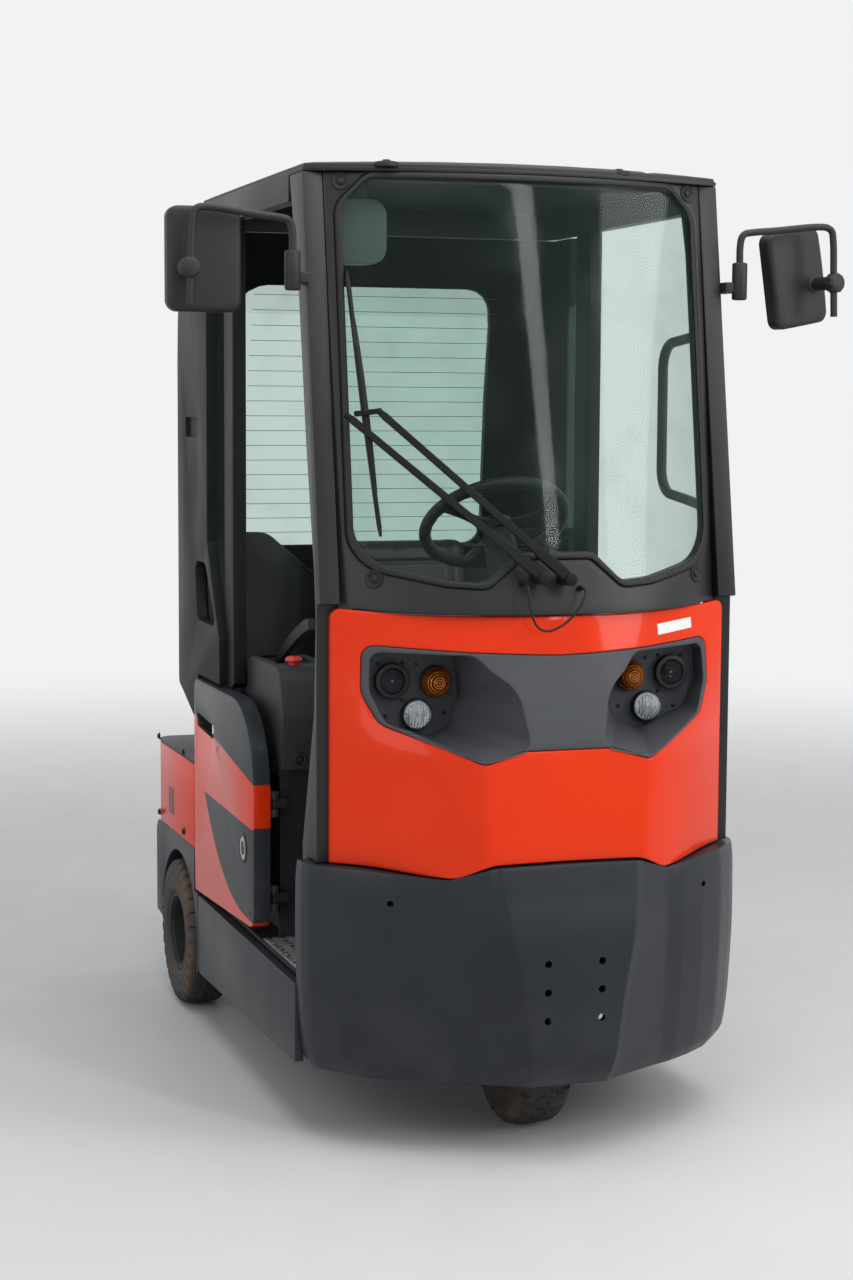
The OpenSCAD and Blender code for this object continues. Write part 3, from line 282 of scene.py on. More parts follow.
# Floor and light: a pale matt floor that runs out of sight, one broad soft lamp above,
# a softer one at each side and a tall one whose long reflection lies on the windscreen.
def second_shader(material, kind, colour, share, under=False):
    """Mix the material's own shader with another one, by share(place); under swaps the two."""
    tree = material.node_tree
    place = place_on(tree)
    other = place.node(kind, {"Color": (*colour, 1)})
    own = Wire(tree, tree.nodes["Principled BSDF"].outputs[0])
    first, last = (other, own) if under else (own, other)
    mixed = place.node("MixShader", {0: share(place), 1: first, 2: last})
    tree.links.new(mixed.socket, tree.nodes["Material Output"].inputs["Surface"])
    return material


def open_rays(tree):
    """1 for a ray from the eye, through glass or off a gloss, which sees the pale hall, or 0."""
    kinds = tree.nodes.new("ShaderNodeLightPath")
    eye, glass, glint = (Wire(tree, kinds.outputs["Is %s Ray" % k])
                         for k in ("Camera", "Transmission", "Glossy"))
    return eye.most(glass).most(glint)


def into_haze(place):
    """How far the floor has faded into the pale hall."""
    x, y, _ = place.axes()
    return ((x * x + y * y) ** 0.5).ease(2.2, 8.5) * open_rays(place.tree)


pale_hall = (0.88, 0.885, 0.89)
floor_half = 30
floor_mesh = bpy.data.meshes.new("floor")
floor_mesh.from_pydata([(x * floor_half, y * floor_half, 0)
                        for x, y in ((-1, -1), (1, -1), (1, 1), (-1, 1))], [], [(0, 1, 2, 3)])
floor_mesh.materials.append(second_shader(surface("pale floor", lambda place: {
    "Base Color": place.noise(1.6, 5.0).tones((0.625, 0.626, 0.632), (0.642, 0.643, 0.648)),
    "Roughness": place.noise(7.0, 4.0).spread(0.55, 0.68)}), "Emission", pale_hall, into_haze))
floor = bpy.data.objects.new("floor", floor_mesh)
bpy.context.scene.collection.objects.link(floor)

world = bpy.data.worlds.new("studio")
bpy.context.scene.world = world
world.use_nodes = True
sky = world.node_tree
ray = open_rays(sky)
seen = ray.node("Background", {"Color": (*pale_hall, 1), "Strength": 1.0})
lit = ray.node("Background", {"Color": (0.95, 0.97, 1.0, 1), "Strength": 0.42})
shown = ray.node("MixShader", {0: ray, 1: lit, 2: seen})
sky.links.new(shown.socket, sky.nodes["World Output"].inputs["Surface"])
for name, at, aim, wide, tall, power, tint in (
    ("over", (0.2, -1.2, 4.6), (0, 0, 0.9), 4.2, 4.2, 140, (1.0, 0.985, 0.96)),
    ("left", (-4.2, -2.2, 2.4), (0, 0, 1.0), 1.8, 3.0, 42, (0.96, 0.98, 1.0)),
    ("right", (4.0, -3.4, 2.6), (0, 0, 1.0), 1.6, 3.2, 84, (1.0, 0.99, 0.97)),
    ("tall", (1.6, -4.6, 4.3), (0.1, -0.7, 1.6), 0.45, 3.4, 55, (1.0, 1.0, 1.0)),
):
    lamp_data = bpy.data.lights.new(name, "AREA")
    lamp_data.shape = "RECTANGLE"
    lamp_data.size, lamp_data.size_y = wide, tall
    lamp_data.energy, lamp_data.color = power, tint
    lamp = bpy.data.objects.new(name, lamp_data)
    lamp.location = at
    lamp.rotation_euler = (Vector(aim) - Vector(at)).to_track_quat("-Z", "Y").to_euler()
    bpy.context.scene.collection.objects.link(lamp)


# Front cover: one large moulded shell, sprayed gloss orange, bowed across the vehicle
# with two creases down its nose and an opening that the lamp mask fills.
def mm(*rows):
    """Rows of millimetres as metres."""
    return [tuple(v / 1000 for v in row) for row in rows]


def eased(table):
    """A smooth line through a table of (place, value) rows that never overshoots them."""
    xs, ys = (np.array(c, float) for c in zip(*table))
    step = np.diff(ys) / np.diff(xs)
    slope = np.zeros(len(xs))
    slope[0], slope[-1] = step[0], step[-1]
    for k in range(1, len(xs) - 1):
        if step[k - 1] * step[k] > 0:
            slope[k] = 2 / (1 / step[k - 1] + 1 / step[k])

    def value(x):
        x = min(max(x, xs[0]), xs[-1])
        k = min(int(np.searchsorted(xs, x, "right")) - 1, len(xs) - 2)
        h = xs[k + 1] - xs[k]
        t = (x - xs[k]) / h
        return float(ys[k] * (1 + 2 * t) * (1 - t) ** 2 + slope[k] * h * t * (1 - t) ** 2
                     + ys[k + 1] * t * t * (3 - 2 * t) + slope[k + 1] * h * t * t * (t - 1))

    return value


nose_y = eased(mm((590, -866), (838, -862), (960, -838), (1060, -812), (1160, -800)))
nose_half = eased(mm((590, 172), (838, 180), (960, 130), (1060, 60), (1160, 10)))
nose_power = eased(((0.590, 1.2), (0.838, 1.25), (1.060, 1.5), (1.160, 1.65)))
cover_half, cover_side_y = 0.450, -0.640


def cover_y(x, z):
    """Outer face of the cover at one point."""
    w = nose_half(z)
    share = max(0.0, (abs(x) - w) / (cover_half - w))
    return nose_y(z) + (cover_side_y - nose_y(z)) * share ** nose_power(z)


def under_seam(x, z):
    """The same face, where its top edge is pulled down under the windscreen's foot."""
    q = 0.26 * (1 - (x / cover_half) ** 4)
    return cover_y(x, (z - 1.100 * q) / (1 - q) if z > 1.100 else z)


def arcs(corners, step=0.004, even=0):
    """Points round a polygon of (x, y, radius) corners, no further apart than about 2.5 steps;
    with even set, every corner and every side gets that many, so that two outlines pair up."""
    count = len(corners)
    out = []
    for k, (x, y, r) in enumerate(corners):
        p = Vector((x, y))
        a = (Vector(corners[k - 1][:2]) - p).normalized()
        b = (Vector(corners[(k + 1) % count][:2]) - p).normalized()
        half = a.angle(b) / 2
        if r < 1e-5 or half > 1.565:
            out.append(p)
            continue
        middle = p + (a + b).normalized() * r / math.sin(half)
        reach = r / math.tan(half)
        s, e = p + a * reach - middle, p + b * reach - middle
        sweep = math.pi - 2 * half
        steps = even or max(2, int(r * sweep / step))
        for t in (j / steps for j in range(steps + 1)):
            out.append(middle + (s * math.sin(sweep * (1 - t))
                                 + e * math.sin(sweep * t)) / math.sin(sweep))
    dense = []
    for k, (a, b) in enumerate(zip(out, out[1:] + out[:1])):
        parts = max(1, int((b - a).length / (2.5 * step)))
        if even:
            parts = even if k % (even + 1) == even else 1
        dense += [a.lerp(b, j / parts) for j in range(parts)]
    return dense


def inset(loop, by):
    """The loop moved inwards; it runs anticlockwise."""
    out = []
    for a, p, b in zip(loop[-1:] + loop[:-1], loop, loop[1:] + loop[:1]):
        n1, n2 = (Vector((-v.y, v.x)).normalized() for v in (p - a, b - p))
        n = (n1 + n2).normalized()
        out.append(p + n * by / max(0.5, n.dot(n1)))
    return out


def anticlockwise(loop):
    """The loop, turned round if it runs clockwise."""
    area = sum(a.x * b.y - b.x * a.y for a, b in zip(loop, loop[1:] + loop[:1]))
    return loop if area > 0 else loop[::-1]


def within(points, loop):
    """Which of the points lie inside the loop."""
    a = np.array([tuple(p) for p in loop])
    b = np.roll(a, -1, axis=0)
    x, y = points[:, 0:1], points[:, 1:2]
    crosses = (a[:, 1] > y) != (b[:, 1] > y)
    with np.errstate(divide="ignore", invalid="ignore"):
        at = (b[:, 0] - a[:, 0]) * (y - a[:, 1]) / (b[:, 1] - a[:, 1]) + a[:, 0]
    return (crosses & (x < at)).sum(axis=1) % 2 == 1


def fill(outer, holes, spacing, lines=()):
    """Points and triangles that fill a loop apart from its holes, with an even lattice inside."""
    coords, edges = [], []
    for loop in (outer, *holes, *lines):
        start, open_end = len(coords), any(loop is line for line in lines)
        coords += [Vector(p) for p in loop]
        edges += [(start + k, start + (k + 1) % len(loop)) for k in range(len(loop) - open_end)]
    border = np.array([tuple(p) for loop in (outer, *holes) for p in loop])
    low, high = border.min(axis=0), border.max(axis=0)
    middle = (low[0] + high[0]) / 2
    half_row = int((high[0] - low[0]) / spacing / 2) + 1
    grid = []
    y, shift = low[1] + spacing / 2, 0.0
    while y < high[1]:
        grid += [(middle + shift + k * spacing, y) for k in range(-half_row, half_row + 1)]
        y, shift = y + spacing * 0.866, spacing / 2 - shift

    def inside(spots):
        return within(spots, outer) & ~np.any([within(spots, h) for h in holes] or [[False]],
                                              axis=0)

    grid = np.array(grid)
    grid = grid[inside(grid)]
    near = np.array([tuple(p) for p in coords])
    apart = np.array([np.min(np.hypot(*(near - g).T)) for g in grid])
    coords += [Vector(g) for g in grid[apart > 0.62 * spacing]]
    points, _, triangles, *_ = delaunay_2d_cdt(coords, edges, [], 0, 1e-7)
    centres = np.array([[sum(points[i][k] for i in t) / 3 for k in (0, 1)] for t in triangles])
    return points, [t for t, k in zip(triangles, inside(centres)) if k]


def spot(p):
    """A point's place, rounded so that it can be looked up."""
    return round(p.x, 6), round(p.y, 6)


def shell(outer, holes, spacing, front, back, round_edge=0.002, lines=(), lying=False, deep=None):
    """A curved plate, standing or lying: front and back give its two faces over a point, its rim is
    rounded over, and deep(p) may lead a hole's wall on through further points."""
    outer = anticlockwise(outer)
    holes = [anticlockwise(h)[::-1] for h in holes]
    inner = inset(outer, round_edge)
    inner_holes = [inset(h, round_edge) for h in holes]
    points, triangles = fill(inner, [h[::-1] for h in inner_holes], spacing, lines)

    def put(p, depth):
        return (p.x, p.y, depth) if lying else (p.x, depth, p.y)

    count = len(points)
    total = [put(p, face(p.x, p.y)) for face in (front, back) for p in points]
    faces = [tuple(t) for t in triangles]
    faces += [tuple(count + i for i in reversed(t)) for t in triangles]
    index = {spot(p): k for k, p in enumerate(points)}
    sign = 1 if back(*outer[0]) > front(*outer[0]) else -1
    for ring, ring_in in zip([outer] + holes, [inner] + inner_holes):
        rows = [[index[spot(p)] for p in ring_in]]
        levels = []
        for turn in (30, 60, 90) if round_edge else ():
            out, down = math.sin(math.radians(turn)), 1 - math.cos(math.radians(turn))
            lip = [q.lerp(p, out) for p, q in zip(ring, ring_in)]
            levels.append([put(m, front(m.x, m.y) + sign * round_edge * down) for m in lip])
        levels += zip(*(deep(p) if deep else () for p in ring))
        if round_edge:
            levels.append([put(p, back(p.x, p.y)) for p in ring])
        for level in levels:
            rows.append(list(range(len(total), len(total) + len(ring))))
            total += level
        rows.append([count + k for k in rows[0]])
        for a, b in zip(rows, rows[1:]):
            n = len(a)
            faces += [(a[k], b[k], b[(k + 1) % n], a[(k + 1) % n]) for k in range(n)]
    return total, faces


def both(half):
    """A loop from its right half, listed as (x, z, radius)."""
    return list(half) + [(-x, z, r) for x, z, r in reversed(half) if abs(x) > 1e-6]


old_dust = (0.30, 0.27, 0.24)
orange, orange_dark = (0.80, 0.040, 0.0048), (0.73, 0.034, 0.0042)


def gloss(name, rough, coat):
    """Sprayed orange gloss: slight orange peel, soft tones, fine hair scratches, low dust."""

    def vary(place):
        broad = place.noise(2.2, 5.0, 0.55)
        hair = (place * (1.0, 1.0, 0.12)).noise(420.0, 2.0, 0.7).ease(0.66, 0.74)
        chips = place.cells(55.0).ease(0.045, 0.02) * place.noise(9.0, 3.0).ease(0.56, 0.62)
        low = place.axes()[2].ease(0.10, 0.62, 0.12, 0.0) * place.noise(13.0, 5.0).ease(0.35, 0.7)
        body = broad.ease(0.32, 0.68).mix(orange_dark, orange)
        return {"Base Color": chips.mix(low.mix(body, old_dust), (0.055, 0.045, 0.042)),
                "Roughness": rough + broad.spread(0.0, 0.07) + hair * 0.12 + low * 0.45
                + chips * 0.4,
                "Coat Weight": (low + chips).ease(0.0, 0.5, coat, 0.05),
                "relief": (place.noise(340.0, 2.0) + hair * 0.5 - chips * 2.0, 0.00005)}

    return surface(name, vary, Coat_Roughness=0.05, Coat_IOR=1.4, Specular_IOR_Level=0.08)


mask_loop = anticlockwise(arcs(both(mm((0, 1055, 0), (200, 1062, 0), (392, 1074, 26),
                                       (396, 975, 60), (366, 912, 40), (250, 868, 60),
                                       (182, 838, 30), (100, 864, 20)))))
foot_steps = mm((0, 22), (158, 20), (246, -10), (400, 2), (500, 0))
foot_drop = eased(foot_steps)
across = [k / 100 for k in range(-45, 46)]
shoulder = [(cover_half - 0.020 * (1 - math.cos(k * math.pi / 12)),
             1.1285 + 0.020 * math.sin(k * math.pi / 12))
            for k in range(7)]
cover_loop = anticlockwise([Vector(p) for p in (
    [(x * 0.9999, 0.6088 + foot_drop(abs(x))) for x in across]
    + [(cover_half, z / 1000) for z in range(620, 1125, 10)] + shoulder
    + [(x, 1.150 - 0.013 * (1 - (x / cover_half) ** 4)) for x in reversed(across) if abs(x) < 0.425]
    + [(-x, z) for x, z in reversed(shoulder)] + [(-cover_half, z / 1000)
                                                  for z in range(1120, 615, -10)])])
creases = [[Vector((s * nose_half(z / 1000), z / 1000)) for z in range(640, 830, 10)]
           for s in (-1, 1)]
piece("orange_front_cover",
      shell(cover_loop, [inset(mask_loop, -0.0012)], 0.011, under_seam,
            lambda x, z: under_seam(x, z) + 0.012, 0.0028, creases),
      gloss("orange gloss paint", 0.16, 0.3), "orange_paint", ("front_cover",))


# Front bumper: a heavy bent steel plate in satin anthracite, with a flat panel in the
# middle that six holes go through, and its top edge stepped down beside the panel.
panel_half = eased(mm((158, 90), (240, 96), (620, 158)))
panel_y = eased(mm((158, -907), (190, -915), (453, -915), (620, -879)))
tuck_top = mm((453, 0), (560, 1), (600, 4), (620, 12))
tuck_foot = mm((158, 30), (185, 16))
side_tuck = eased([*tuck_foot, (0.300, 0.005), *tuck_top])
panel_tuck = eased([*tuck_foot, (0.240, 0.0), *tuck_top])
bend_from, lip_from, wall = 0.560, 0.560, 0.016


def bumper_row(z, more):
    """One level of the bumper from its left end to its right end."""
    w, f = panel_half(z), panel_y(z)
    half = [(0.505, -0.560, 0), (0.503, -0.598, 0.07), (0.493, -0.632, 0.07), (0.467, -0.668, 0.08),
            (0.420, -0.722, 0.10), (0.356, -0.769, 0.12), (0.290, -0.808, 0.10),
            (0.246, -0.826, 0.08),
            (w + 0.018, f + 0.014, 0.012), (w, f, 0.010), (w / 2, f, 0)]
    placed = []
    for k, (x, y, r) in enumerate(half):
        d = (panel_tuck(z) if k > 7 else side_tuck(z)) + more
        e = min(max((-y - bend_from) / 0.090, 0.0), 1.0)
        placed.append(Vector((x - d * (1 + (x / 0.560 - 1) * e), y + d * e)))
    line = []
    for k, (p, (_, _, r)) in enumerate(zip(placed, half)):
        if not r:
            line.append([p])
            continue
        a, b = (placed[k - 1] - p), (placed[k + 1] - p)
        reach = min(r * math.tan((math.pi - a.angle(b)) / 2), 0.46 * a.length, 0.46 * b.length)
        s, e = p + a.normalized() * reach, p + b.normalized() * reach
        line.append([(1 - t) ** 2 * s + 2 * t * (1 - t) * p + t * t * e
                     for t in (0, 0.25, 0.5, 0.75, 1)])
    flat = [q for group in line for q in group]
    last_of_group = np.cumsum([len(g) for g in line])
    dense = []
    for k, (a, b) in enumerate(zip(flat, flat[1:])):
        dense += [a, a.lerp(b, 0.5)] if k + 1 in last_of_group else [a]
    right_half = [(p.x, p.y) for p in dense + flat[-1:]]
    whole = right_half + [(0.0, placed[-1].y)] + [(-x, y) for x, y in reversed(right_half)]
    return [(x, y, z + float(np.interp(abs(x), *zip(*foot_steps))) * max(0.0, z - lip_from) / 0.045)
            for x, y in whole]


levels = ([0.158, 0.161, 0.166, 0.173, 0.185] + [0.185 + 0.0125 * k for k in range(1, 31)]
          + [0.572, 0.582, 0.590, 0.596, 0.600, 0.603, 0.605])
points = []
for z in levels:
    inner = bumper_row(z, wall if z < lip_from else wall + 0.028 * min(1, (z - lip_from) / 0.012))
    points += bumper_row(z, 0.0) + inner[::-1]
around = 2 * len(inner)
faces = skin(len(levels), around)
for a in (0, len(points) - around):
    faces += [(a + j, a + around - 1 - j, a + around - 2 - j, a + j + 1)
              for j in range(len(inner) - 1)]


def satin(name, colour, pale, rough, shine=0.16):
    """Satin paint on steel: soft tone changes, rubbed streaks and dust near the ground."""

    def vary(place):
        broad, fine = place.noise(3.1, 5.0), place.noise(520.0, 3.0, 0.7)
        rub = (place * (0.5, 0.5, 5.0)).noise(60.0, 5.0, 0.65).ease(0.62, 0.78)
        low = place.axes()[2].ease(0.12, 0.42, 0.08, 0.0) * place.noise(11.0, 5.0).ease(0.35, 0.7)
        return {"Base Color": (low + rub * 0.16).least(0.85).mix(broad.tones(colour, pale),
                                                                 (0.20, 0.195, 0.185)),
                "Roughness": (broad.spread(rough - 0.05, rough + 0.07) + rub * 0.12
                              + low * 0.3).least(0.9),
                "relief": (fine + rub * 0.6, 0.00007)}

    return surface(name, vary, Specular_IOR_Level=shine)


anthracite_satin = satin("anthracite satin paint", (0.0160, 0.0190, 0.0250),
                         (0.0200, 0.0235, 0.0300), 0.33, 0.24)


def joined(parts):
    """Several forms as one."""
    points, faces = [], []
    for pts, fcs in parts:
        faces += [tuple(len(points) + i for i in f) for f in fcs]
        points += pts
    return points, faces


def evaluated(holder):
    """The plain mesh that the holder's modifiers make; the holder goes."""
    bpy.context.view_layer.update()
    graph = bpy.context.evaluated_depsgraph_get()
    result = bpy.data.meshes.new_from_object(holder.evaluated_get(graph))
    bpy.data.objects.remove(holder)
    return result


def cut(form, cutters):
    """A mesh of the form with each cutter taken out of it."""
    base = bpy.data.objects.new("base", meshed("base", *form))
    tool = bpy.data.objects.new("tool", meshed("tool", *joined(cutters)))
    for o in (base, tool):
        bpy.context.scene.collection.objects.link(o)
    step = base.modifiers.new("cut", "BOOLEAN")
    step.operation, step.object, step.solver = "DIFFERENCE", tool, "EXACT"
    result = evaluated(base)
    bpy.data.objects.remove(tool)
    return result


panel_holes = [(s * 0.060, 0.307 + 0.060 * k) for s in (-1, 1) for k in range(3)]
drills = [tube([(x, -0.95, z), (x, -0.88, z)], 0.008, 28) for x, z in panel_holes]
drills += [tube([(s * 0.356, -0.84, 0.542), (s * 0.356, -0.74, 0.542)], 0.0065, 20)
           for s in (-1, 1)]
fitted("front_bumper_plate", cut((points, faces), drills), anthracite_satin, "anthracite_paint",
       ("front_bumper",), 24)


# Lamp mask: a matt dark grey moulding set into the cover, with a deep bay at each end
# for three lamps. Its bare middle carries nothing.
def at_face(x, z):
    """The mask's rim, a little proud of the cover."""
    return under_seam(x, z) - 0.002


bay_corners = mm((178, 1046, 24), (376, 1058, 22), (380, 978, 50), (352, 915, 34), (240, 872, 30),
                 (190, 893, 30), (170, 960, 40))
mouth_corners = mm((178, 1059, 50), (382, 1067, 20), (387, 978, 54), (359, 910, 38), (188, 846, 36),
                   (87, 869, 26), (95, 990, 100))
bay_floor = -0.648
bays, mouths, partner = [], [], {}
for s in (-1, 1):
    low, high = (arcs([(s * x, z, r) for x, z, r in c], even=7)
                 for c in (bay_corners, mouth_corners))
    rim = []
    for p, q in zip(low, high):
        m = q
        for _ in range(12):
            m = p.lerp(q, (bay_floor - at_face(m.x, m.y)) / 0.202)
        rim.append(m)
        partner[spot(m)] = p
    bays.append(anticlockwise(low))
    mouths.append(rim)


def bay_wall(rim):
    """Points from a place on a bay's rim down to the bay's floor."""
    p = partner.get(spot(rim))
    start = at_face(rim.x, rim.y) + 0.004
    return [(rim.lerp(p, t).x, start + (bay_floor - start) * t, rim.lerp(p, t).y)
            for t in (0.08, 0.25, 0.5, 0.75, 0.92, 1.0)] if p else ()


mask_parts = [shell(mask_loop, mouths, 0.010, at_face, lambda x, z: -0.641, 0.004, deep=bay_wall)]
mask_parts += [shell(inset(bay, 0.0005), [], 0.012, lambda x, z: bay_floor + 0.0004,
                     lambda x, z: bay_floor + 0.004, 0.0) for bay in bays]
piece("lamp_mask_moulding", joined(mask_parts),
      rubbery("mask moulding", (0.056, 0.060, 0.068), (0.115, 0.115, 0.115), 1500.0, 0.58, 0.15),
      "dark_moulding", ("lamp_mask",), 32)


# Lamp plate screws: small dark pan heads, six to a bay, that hold the lamps' backing
# plates to the moulding. They are turned steel, blackened, and driven in from the front.
def spun(profile, at=(0, 0, 0), sides=48, waves=None):
    """A round form facing forwards: profile is (radius, how far it stands out)."""
    points = []
    for r, out in profile:
        for a in (2 * math.pi * j / sides for j in range(sides)):
            extra = waves(r, a) if waves else 0.0
            points.append((at[0] + r * math.cos(a), at[1] - out - extra, at[2] + r * math.sin(a)))
    return points, skin(len(profile), sides) + ends(len(profile), sides)


screw_head = mm((4.2, -1), (4.2, 1.2), (3.4, 2.4), (1.6, 2.9), (0.4, 1.8))
screw_places = mm((348, 1030), (264, 1026), (294, 1031), (201, 922), (331, 919), (294.7, 952))
ring_black = rubbery("lamp ring moulding", (0.014, 0.0145, 0.016), (0.06, 0.06, 0.06), 1900.0, 0.42)
piece("lamp_plate_screws",
      joined(spun(screw_head, (s * x, bay_floor, z), 18) for x, z in screw_places for s in (-1, 1)),
      ring_black, "dark_moulding")


# Lamps: round units on the bays' floors. Each has a moulded ring, a ribbed lens that
# bulges out, and a bright reflector with a bulb behind it; the inner ones are amber.
def clear(name, tint, deep, rough=0.03, ripple=0.0):
    """A clear or coloured lens: light passes through its tint; smears dull it a little."""

    def smear(place):
        return place.noise(9.0, 5.0).ease(0.45, 0.8)

    def vary(place):
        varied = {"Roughness": smear(place) * 0.12 + rough}
        if ripple:
            varied["relief"] = ((place.axes()[0] * ripple).sine(), 0.0006)
        return varied

    def facing(place):
        edge = place.node("LayerWeight", {"Blend": 0.28}, "Facing")
        return (edge * 0.55 + smear(place) * 0.06 + 0.06).least(0.95)

    made = surface(name, vary, Base_Color=deep, Coat_Weight=0.6, Coat_Roughness=0.06)
    return second_shader(made, "BsdfTransparent", tint, facing, under=True)


def mottled(name, tone_scale, dark, pale, rough_scale, smooth, dull, **fixed):
    """A fine surface whose tone and gloss drift a little from place to place."""
    return surface(name, lambda place: {"Base Color": place.noise(tone_scale).tones(dark, pale),
                                        "Roughness": place.noise(rough_scale).spread(smooth, dull)},
                   **fixed)


def bowl(name, tone_scale, dark, pale, facets, smooth, dull, metal):
    """Vacuum-coated reflector, pitted with small facets."""
    return surface(name, lambda place: {
        "Base Color": place.noise(tone_scale).tones(dark, pale),
        "Roughness": place.cells(facets[0]).ease(0.0, 0.6, smooth, dull),
        "relief": (place.cells(facets[1]), 0.0002)}, Metallic=metal)


bright_bowl = bowl("bright reflector", 30.0, (0.80, 0.81, 0.82), (0.90, 0.90, 0.90), (420.0, 160.0),
                   0.10, 0.24, 1.0)
smoked_bowl = bowl("smoked reflector", 40.0, (0.070, 0.072, 0.078), (0.105, 0.107, 0.112),
                   (300.0, 120.0),
                   0.12, 0.26, 0.8)
bulb_glass = mottled("warm bulb", 90.0, (0.85, 0.82, 0.74), (0.95, 0.93, 0.88), 60.0, 0.08, 0.2)
seat_y = -0.6483


def lamp_parts(kind, at, radius, rim, thick, bulge):
    """Ring, lens, reflector and bulb of one lamp, in the order of its materials."""
    lens_edge, bowl_edge = rim - 0.0003, rim - 0.001

    def flutes(deep, pitch, low):
        """Upright flutes on a flood lamp, rings on the others."""
        return lambda r, a: 0.0 if not low < r < rim - 0.002 else deep * math.sin(
            (r * math.cos(a) if kind == "flood" else r) * pitch)

    lens_waves = flutes(0.0006, 1500, -1) if kind == "flood" else flutes(0.0008, 1150, 0.003)
    return [
        spun([(radius - 0.001, 0.0), (radius, 0.002), (radius, thick - 0.003),
              (radius - 0.001, thick - 0.001), (radius - 0.003, thick), (rim + 0.002, thick),
              (rim + 0.0004, thick - 0.0015), (rim, thick - 0.004),
              (rim, 0.002), (rim - 0.004, 0.0)], at),
        spun([(lens_edge, thick - 0.005), (lens_edge, thick - 0.001)]
             + [(lens_edge * math.cos(a), thick - 0.001 + bulge * math.sin(a))
                for a in np.linspace(0.12, 1.5, 24)],
             at, 96, lens_waves),
        spun([(bowl_edge, thick - 0.005)]
             + [(bowl_edge * math.cos(a), thick - 0.0062 - (thick - 0.008) * math.sin(a))
                for a in np.linspace(0.12, 1.3, 20)] + [(0.006, 0.0017), (0.006, 0.001)],
             at, 64, flutes(0.0007, 1300, 0.007)),
        spun(mm((5.5, 1.8), (5.5, 6), (4.5, 9), (2.5, 10.8), (0.6, 11.5)), at, 20)]


# The tenth column's tone pairs are painted shade and painted highlight for the lens stripes: grey
# and dark on the clear and smoked lenses, bright amber on the turn lamps.
for kind, x, z, radius, rim, thick, bulge, bowl_paint, clear_look, stripe_shade_tones, slot, replaced in (
    ("head", 0.320, 0.994, 0.038, 0.0265, 0.016, 0.010, smoked_bowl,
     ("smoked lens", (0.62, 0.64, 0.67), (0.040, 0.042, 0.046), 0.03),
     ((0.05, 0.05, 0.055), (0.07, 0.07, 0.075)), "lamp_clear", ("head_lamps",)),
    ("flood", 0.264, 0.921, 0.034, 0.0305, 0.014, 0.022, bright_bowl,
     ("clear lens", (0.90, 0.93, 0.94), (0.62, 0.64, 0.66), 0.03, 900.0),
     ((0.26, 0.27, 0.28), (0.40, 0.41, 0.42)), "lamp_clear", ()),
    ("turn", 0.223, 0.989, 0.034, 0.0305, 0.014, 0.024, bright_bowl,
     ("amber lens", (1.0, 0.40, 0.035), (0.78, 0.20, 0.008), 0.04),
     ((0.66, 0.17, 0.010), (0.85, 0.26, 0.016)), "lamp_amber", ("turn_lamps",)),
):
    parts, slots = [], []
    for s in (-1, 1):
        at = (s * x, seat_y, z)
        for tag, (pts, fcs) in enumerate(lamp_parts(kind, at, radius, rim, thick, bulge)):
            parts.append((pts, fcs))
            for f in fcs:
                u, v = (sum(pts[i][k] - at[k] for i in f) / len(f) for k in (0, 2))
                turn = {"turn": math.hypot(u, v) / 0.0056, "flood": u / 0.0062, "head": 0.5}[kind]
                # Bands of each lens's faces get an opaque stripe material instead of clear lens:
                # painted shade and painted highlight standing for the light caught in the lens's
                # flutes and rings.
                stripe_shaded = tag == 1 and turn % 1 < 0.34 and math.hypot(u, v) < rim - 0.003
                slots.append(4 if stripe_shaded else tag)
    stripe_shade_glass = mottled(kind + " lens painted stripes", 120.0, *stripe_shade_tones, 90.0, 0.10, 0.22)
    unit = piece(kind + "_lamp_units", joined(parts),
                 [ring_black, clear(*clear_look), bowl_paint, bulb_glass, stripe_shade_glass], slot,
                 replaced, 35)
    unit.data.polygons.foreach_set("material_index", slots)


# Windscreen frame: a pressed steel surround, painted satin black, with screws sunk in
# cups at its corners. A rubber seal runs inside it and holds the greenish tinted glass.
def glass_loop(g):
    """The windscreen's outline, larger all round by g."""
    return anticlockwise(arcs(both([
        (0.345, 2.046 + g, 0.040), (0.400 + g, 1.990, 0.060), (0.400 + g, 1.250 - g, 0.090),
        (0.230, 1.211 - g, 0.060), (0.150, 1.206 - g, 0.040), (0.084 - g / 2, 1.268 - g, 0.022)])))


def behind_screen(by):
    """A face that lies this far behind the windscreen's outer one."""
    return lambda x, z: screen_y(x, z) + by


frame_black = satin("frame satin black", (0.0115, 0.012, 0.0135), (0.016, 0.0165, 0.018), 0.40,
                    0.32)
seal_black = rubbery("glazing rubber", (0.012, 0.012, 0.013), (0.05, 0.05, 0.05), 1400.0, 0.55)
half_screen = 0.4327
edge_x = [k / 40 * half_screen for k in range(-40, 41)]
foot_edge = [(x, 1.1525 - 0.0135 * (1 - (x / cover_half) ** 4)
              - (0.009 if abs(x) > 0.408 else 0.0)) for x in edge_x]
side_edge = [(half_screen, 1.156 + 0.01 * k) for k in range(1, 90)]
frame_loop = anticlockwise([Vector(p) for p in (
    foot_edge + side_edge + [(x, 2.060) for x in reversed(edge_x)]
    + [(-x, z) for x, z in reversed(side_edge)])])
piece("windscreen_surround",
      shell(frame_loop, [glass_loop(0.014)], 0.013, behind_screen(0.006), behind_screen(0.030),
            0.0035),
      frame_black, "frame_steel", ("windscreen_frame",))
piece("windscreen_rubber",
      shell(glass_loop(0.0137), [glass_loop(0.0)], 0.008, screen_y, behind_screen(0.034), 0.0045),
      seal_black, "seal_rubber", ("windscreen_seal",))
piece("windscreen_pane",
      shell(glass_loop(-0.0003), [], 0.018, behind_screen(0.010), behind_screen(0.016), 0.0006),
      clear("tinted glass", (0.87, 0.94, 0.915), (0.030, 0.055, 0.050), 0.05), "window_glass",
      ("windscreen",), 60)


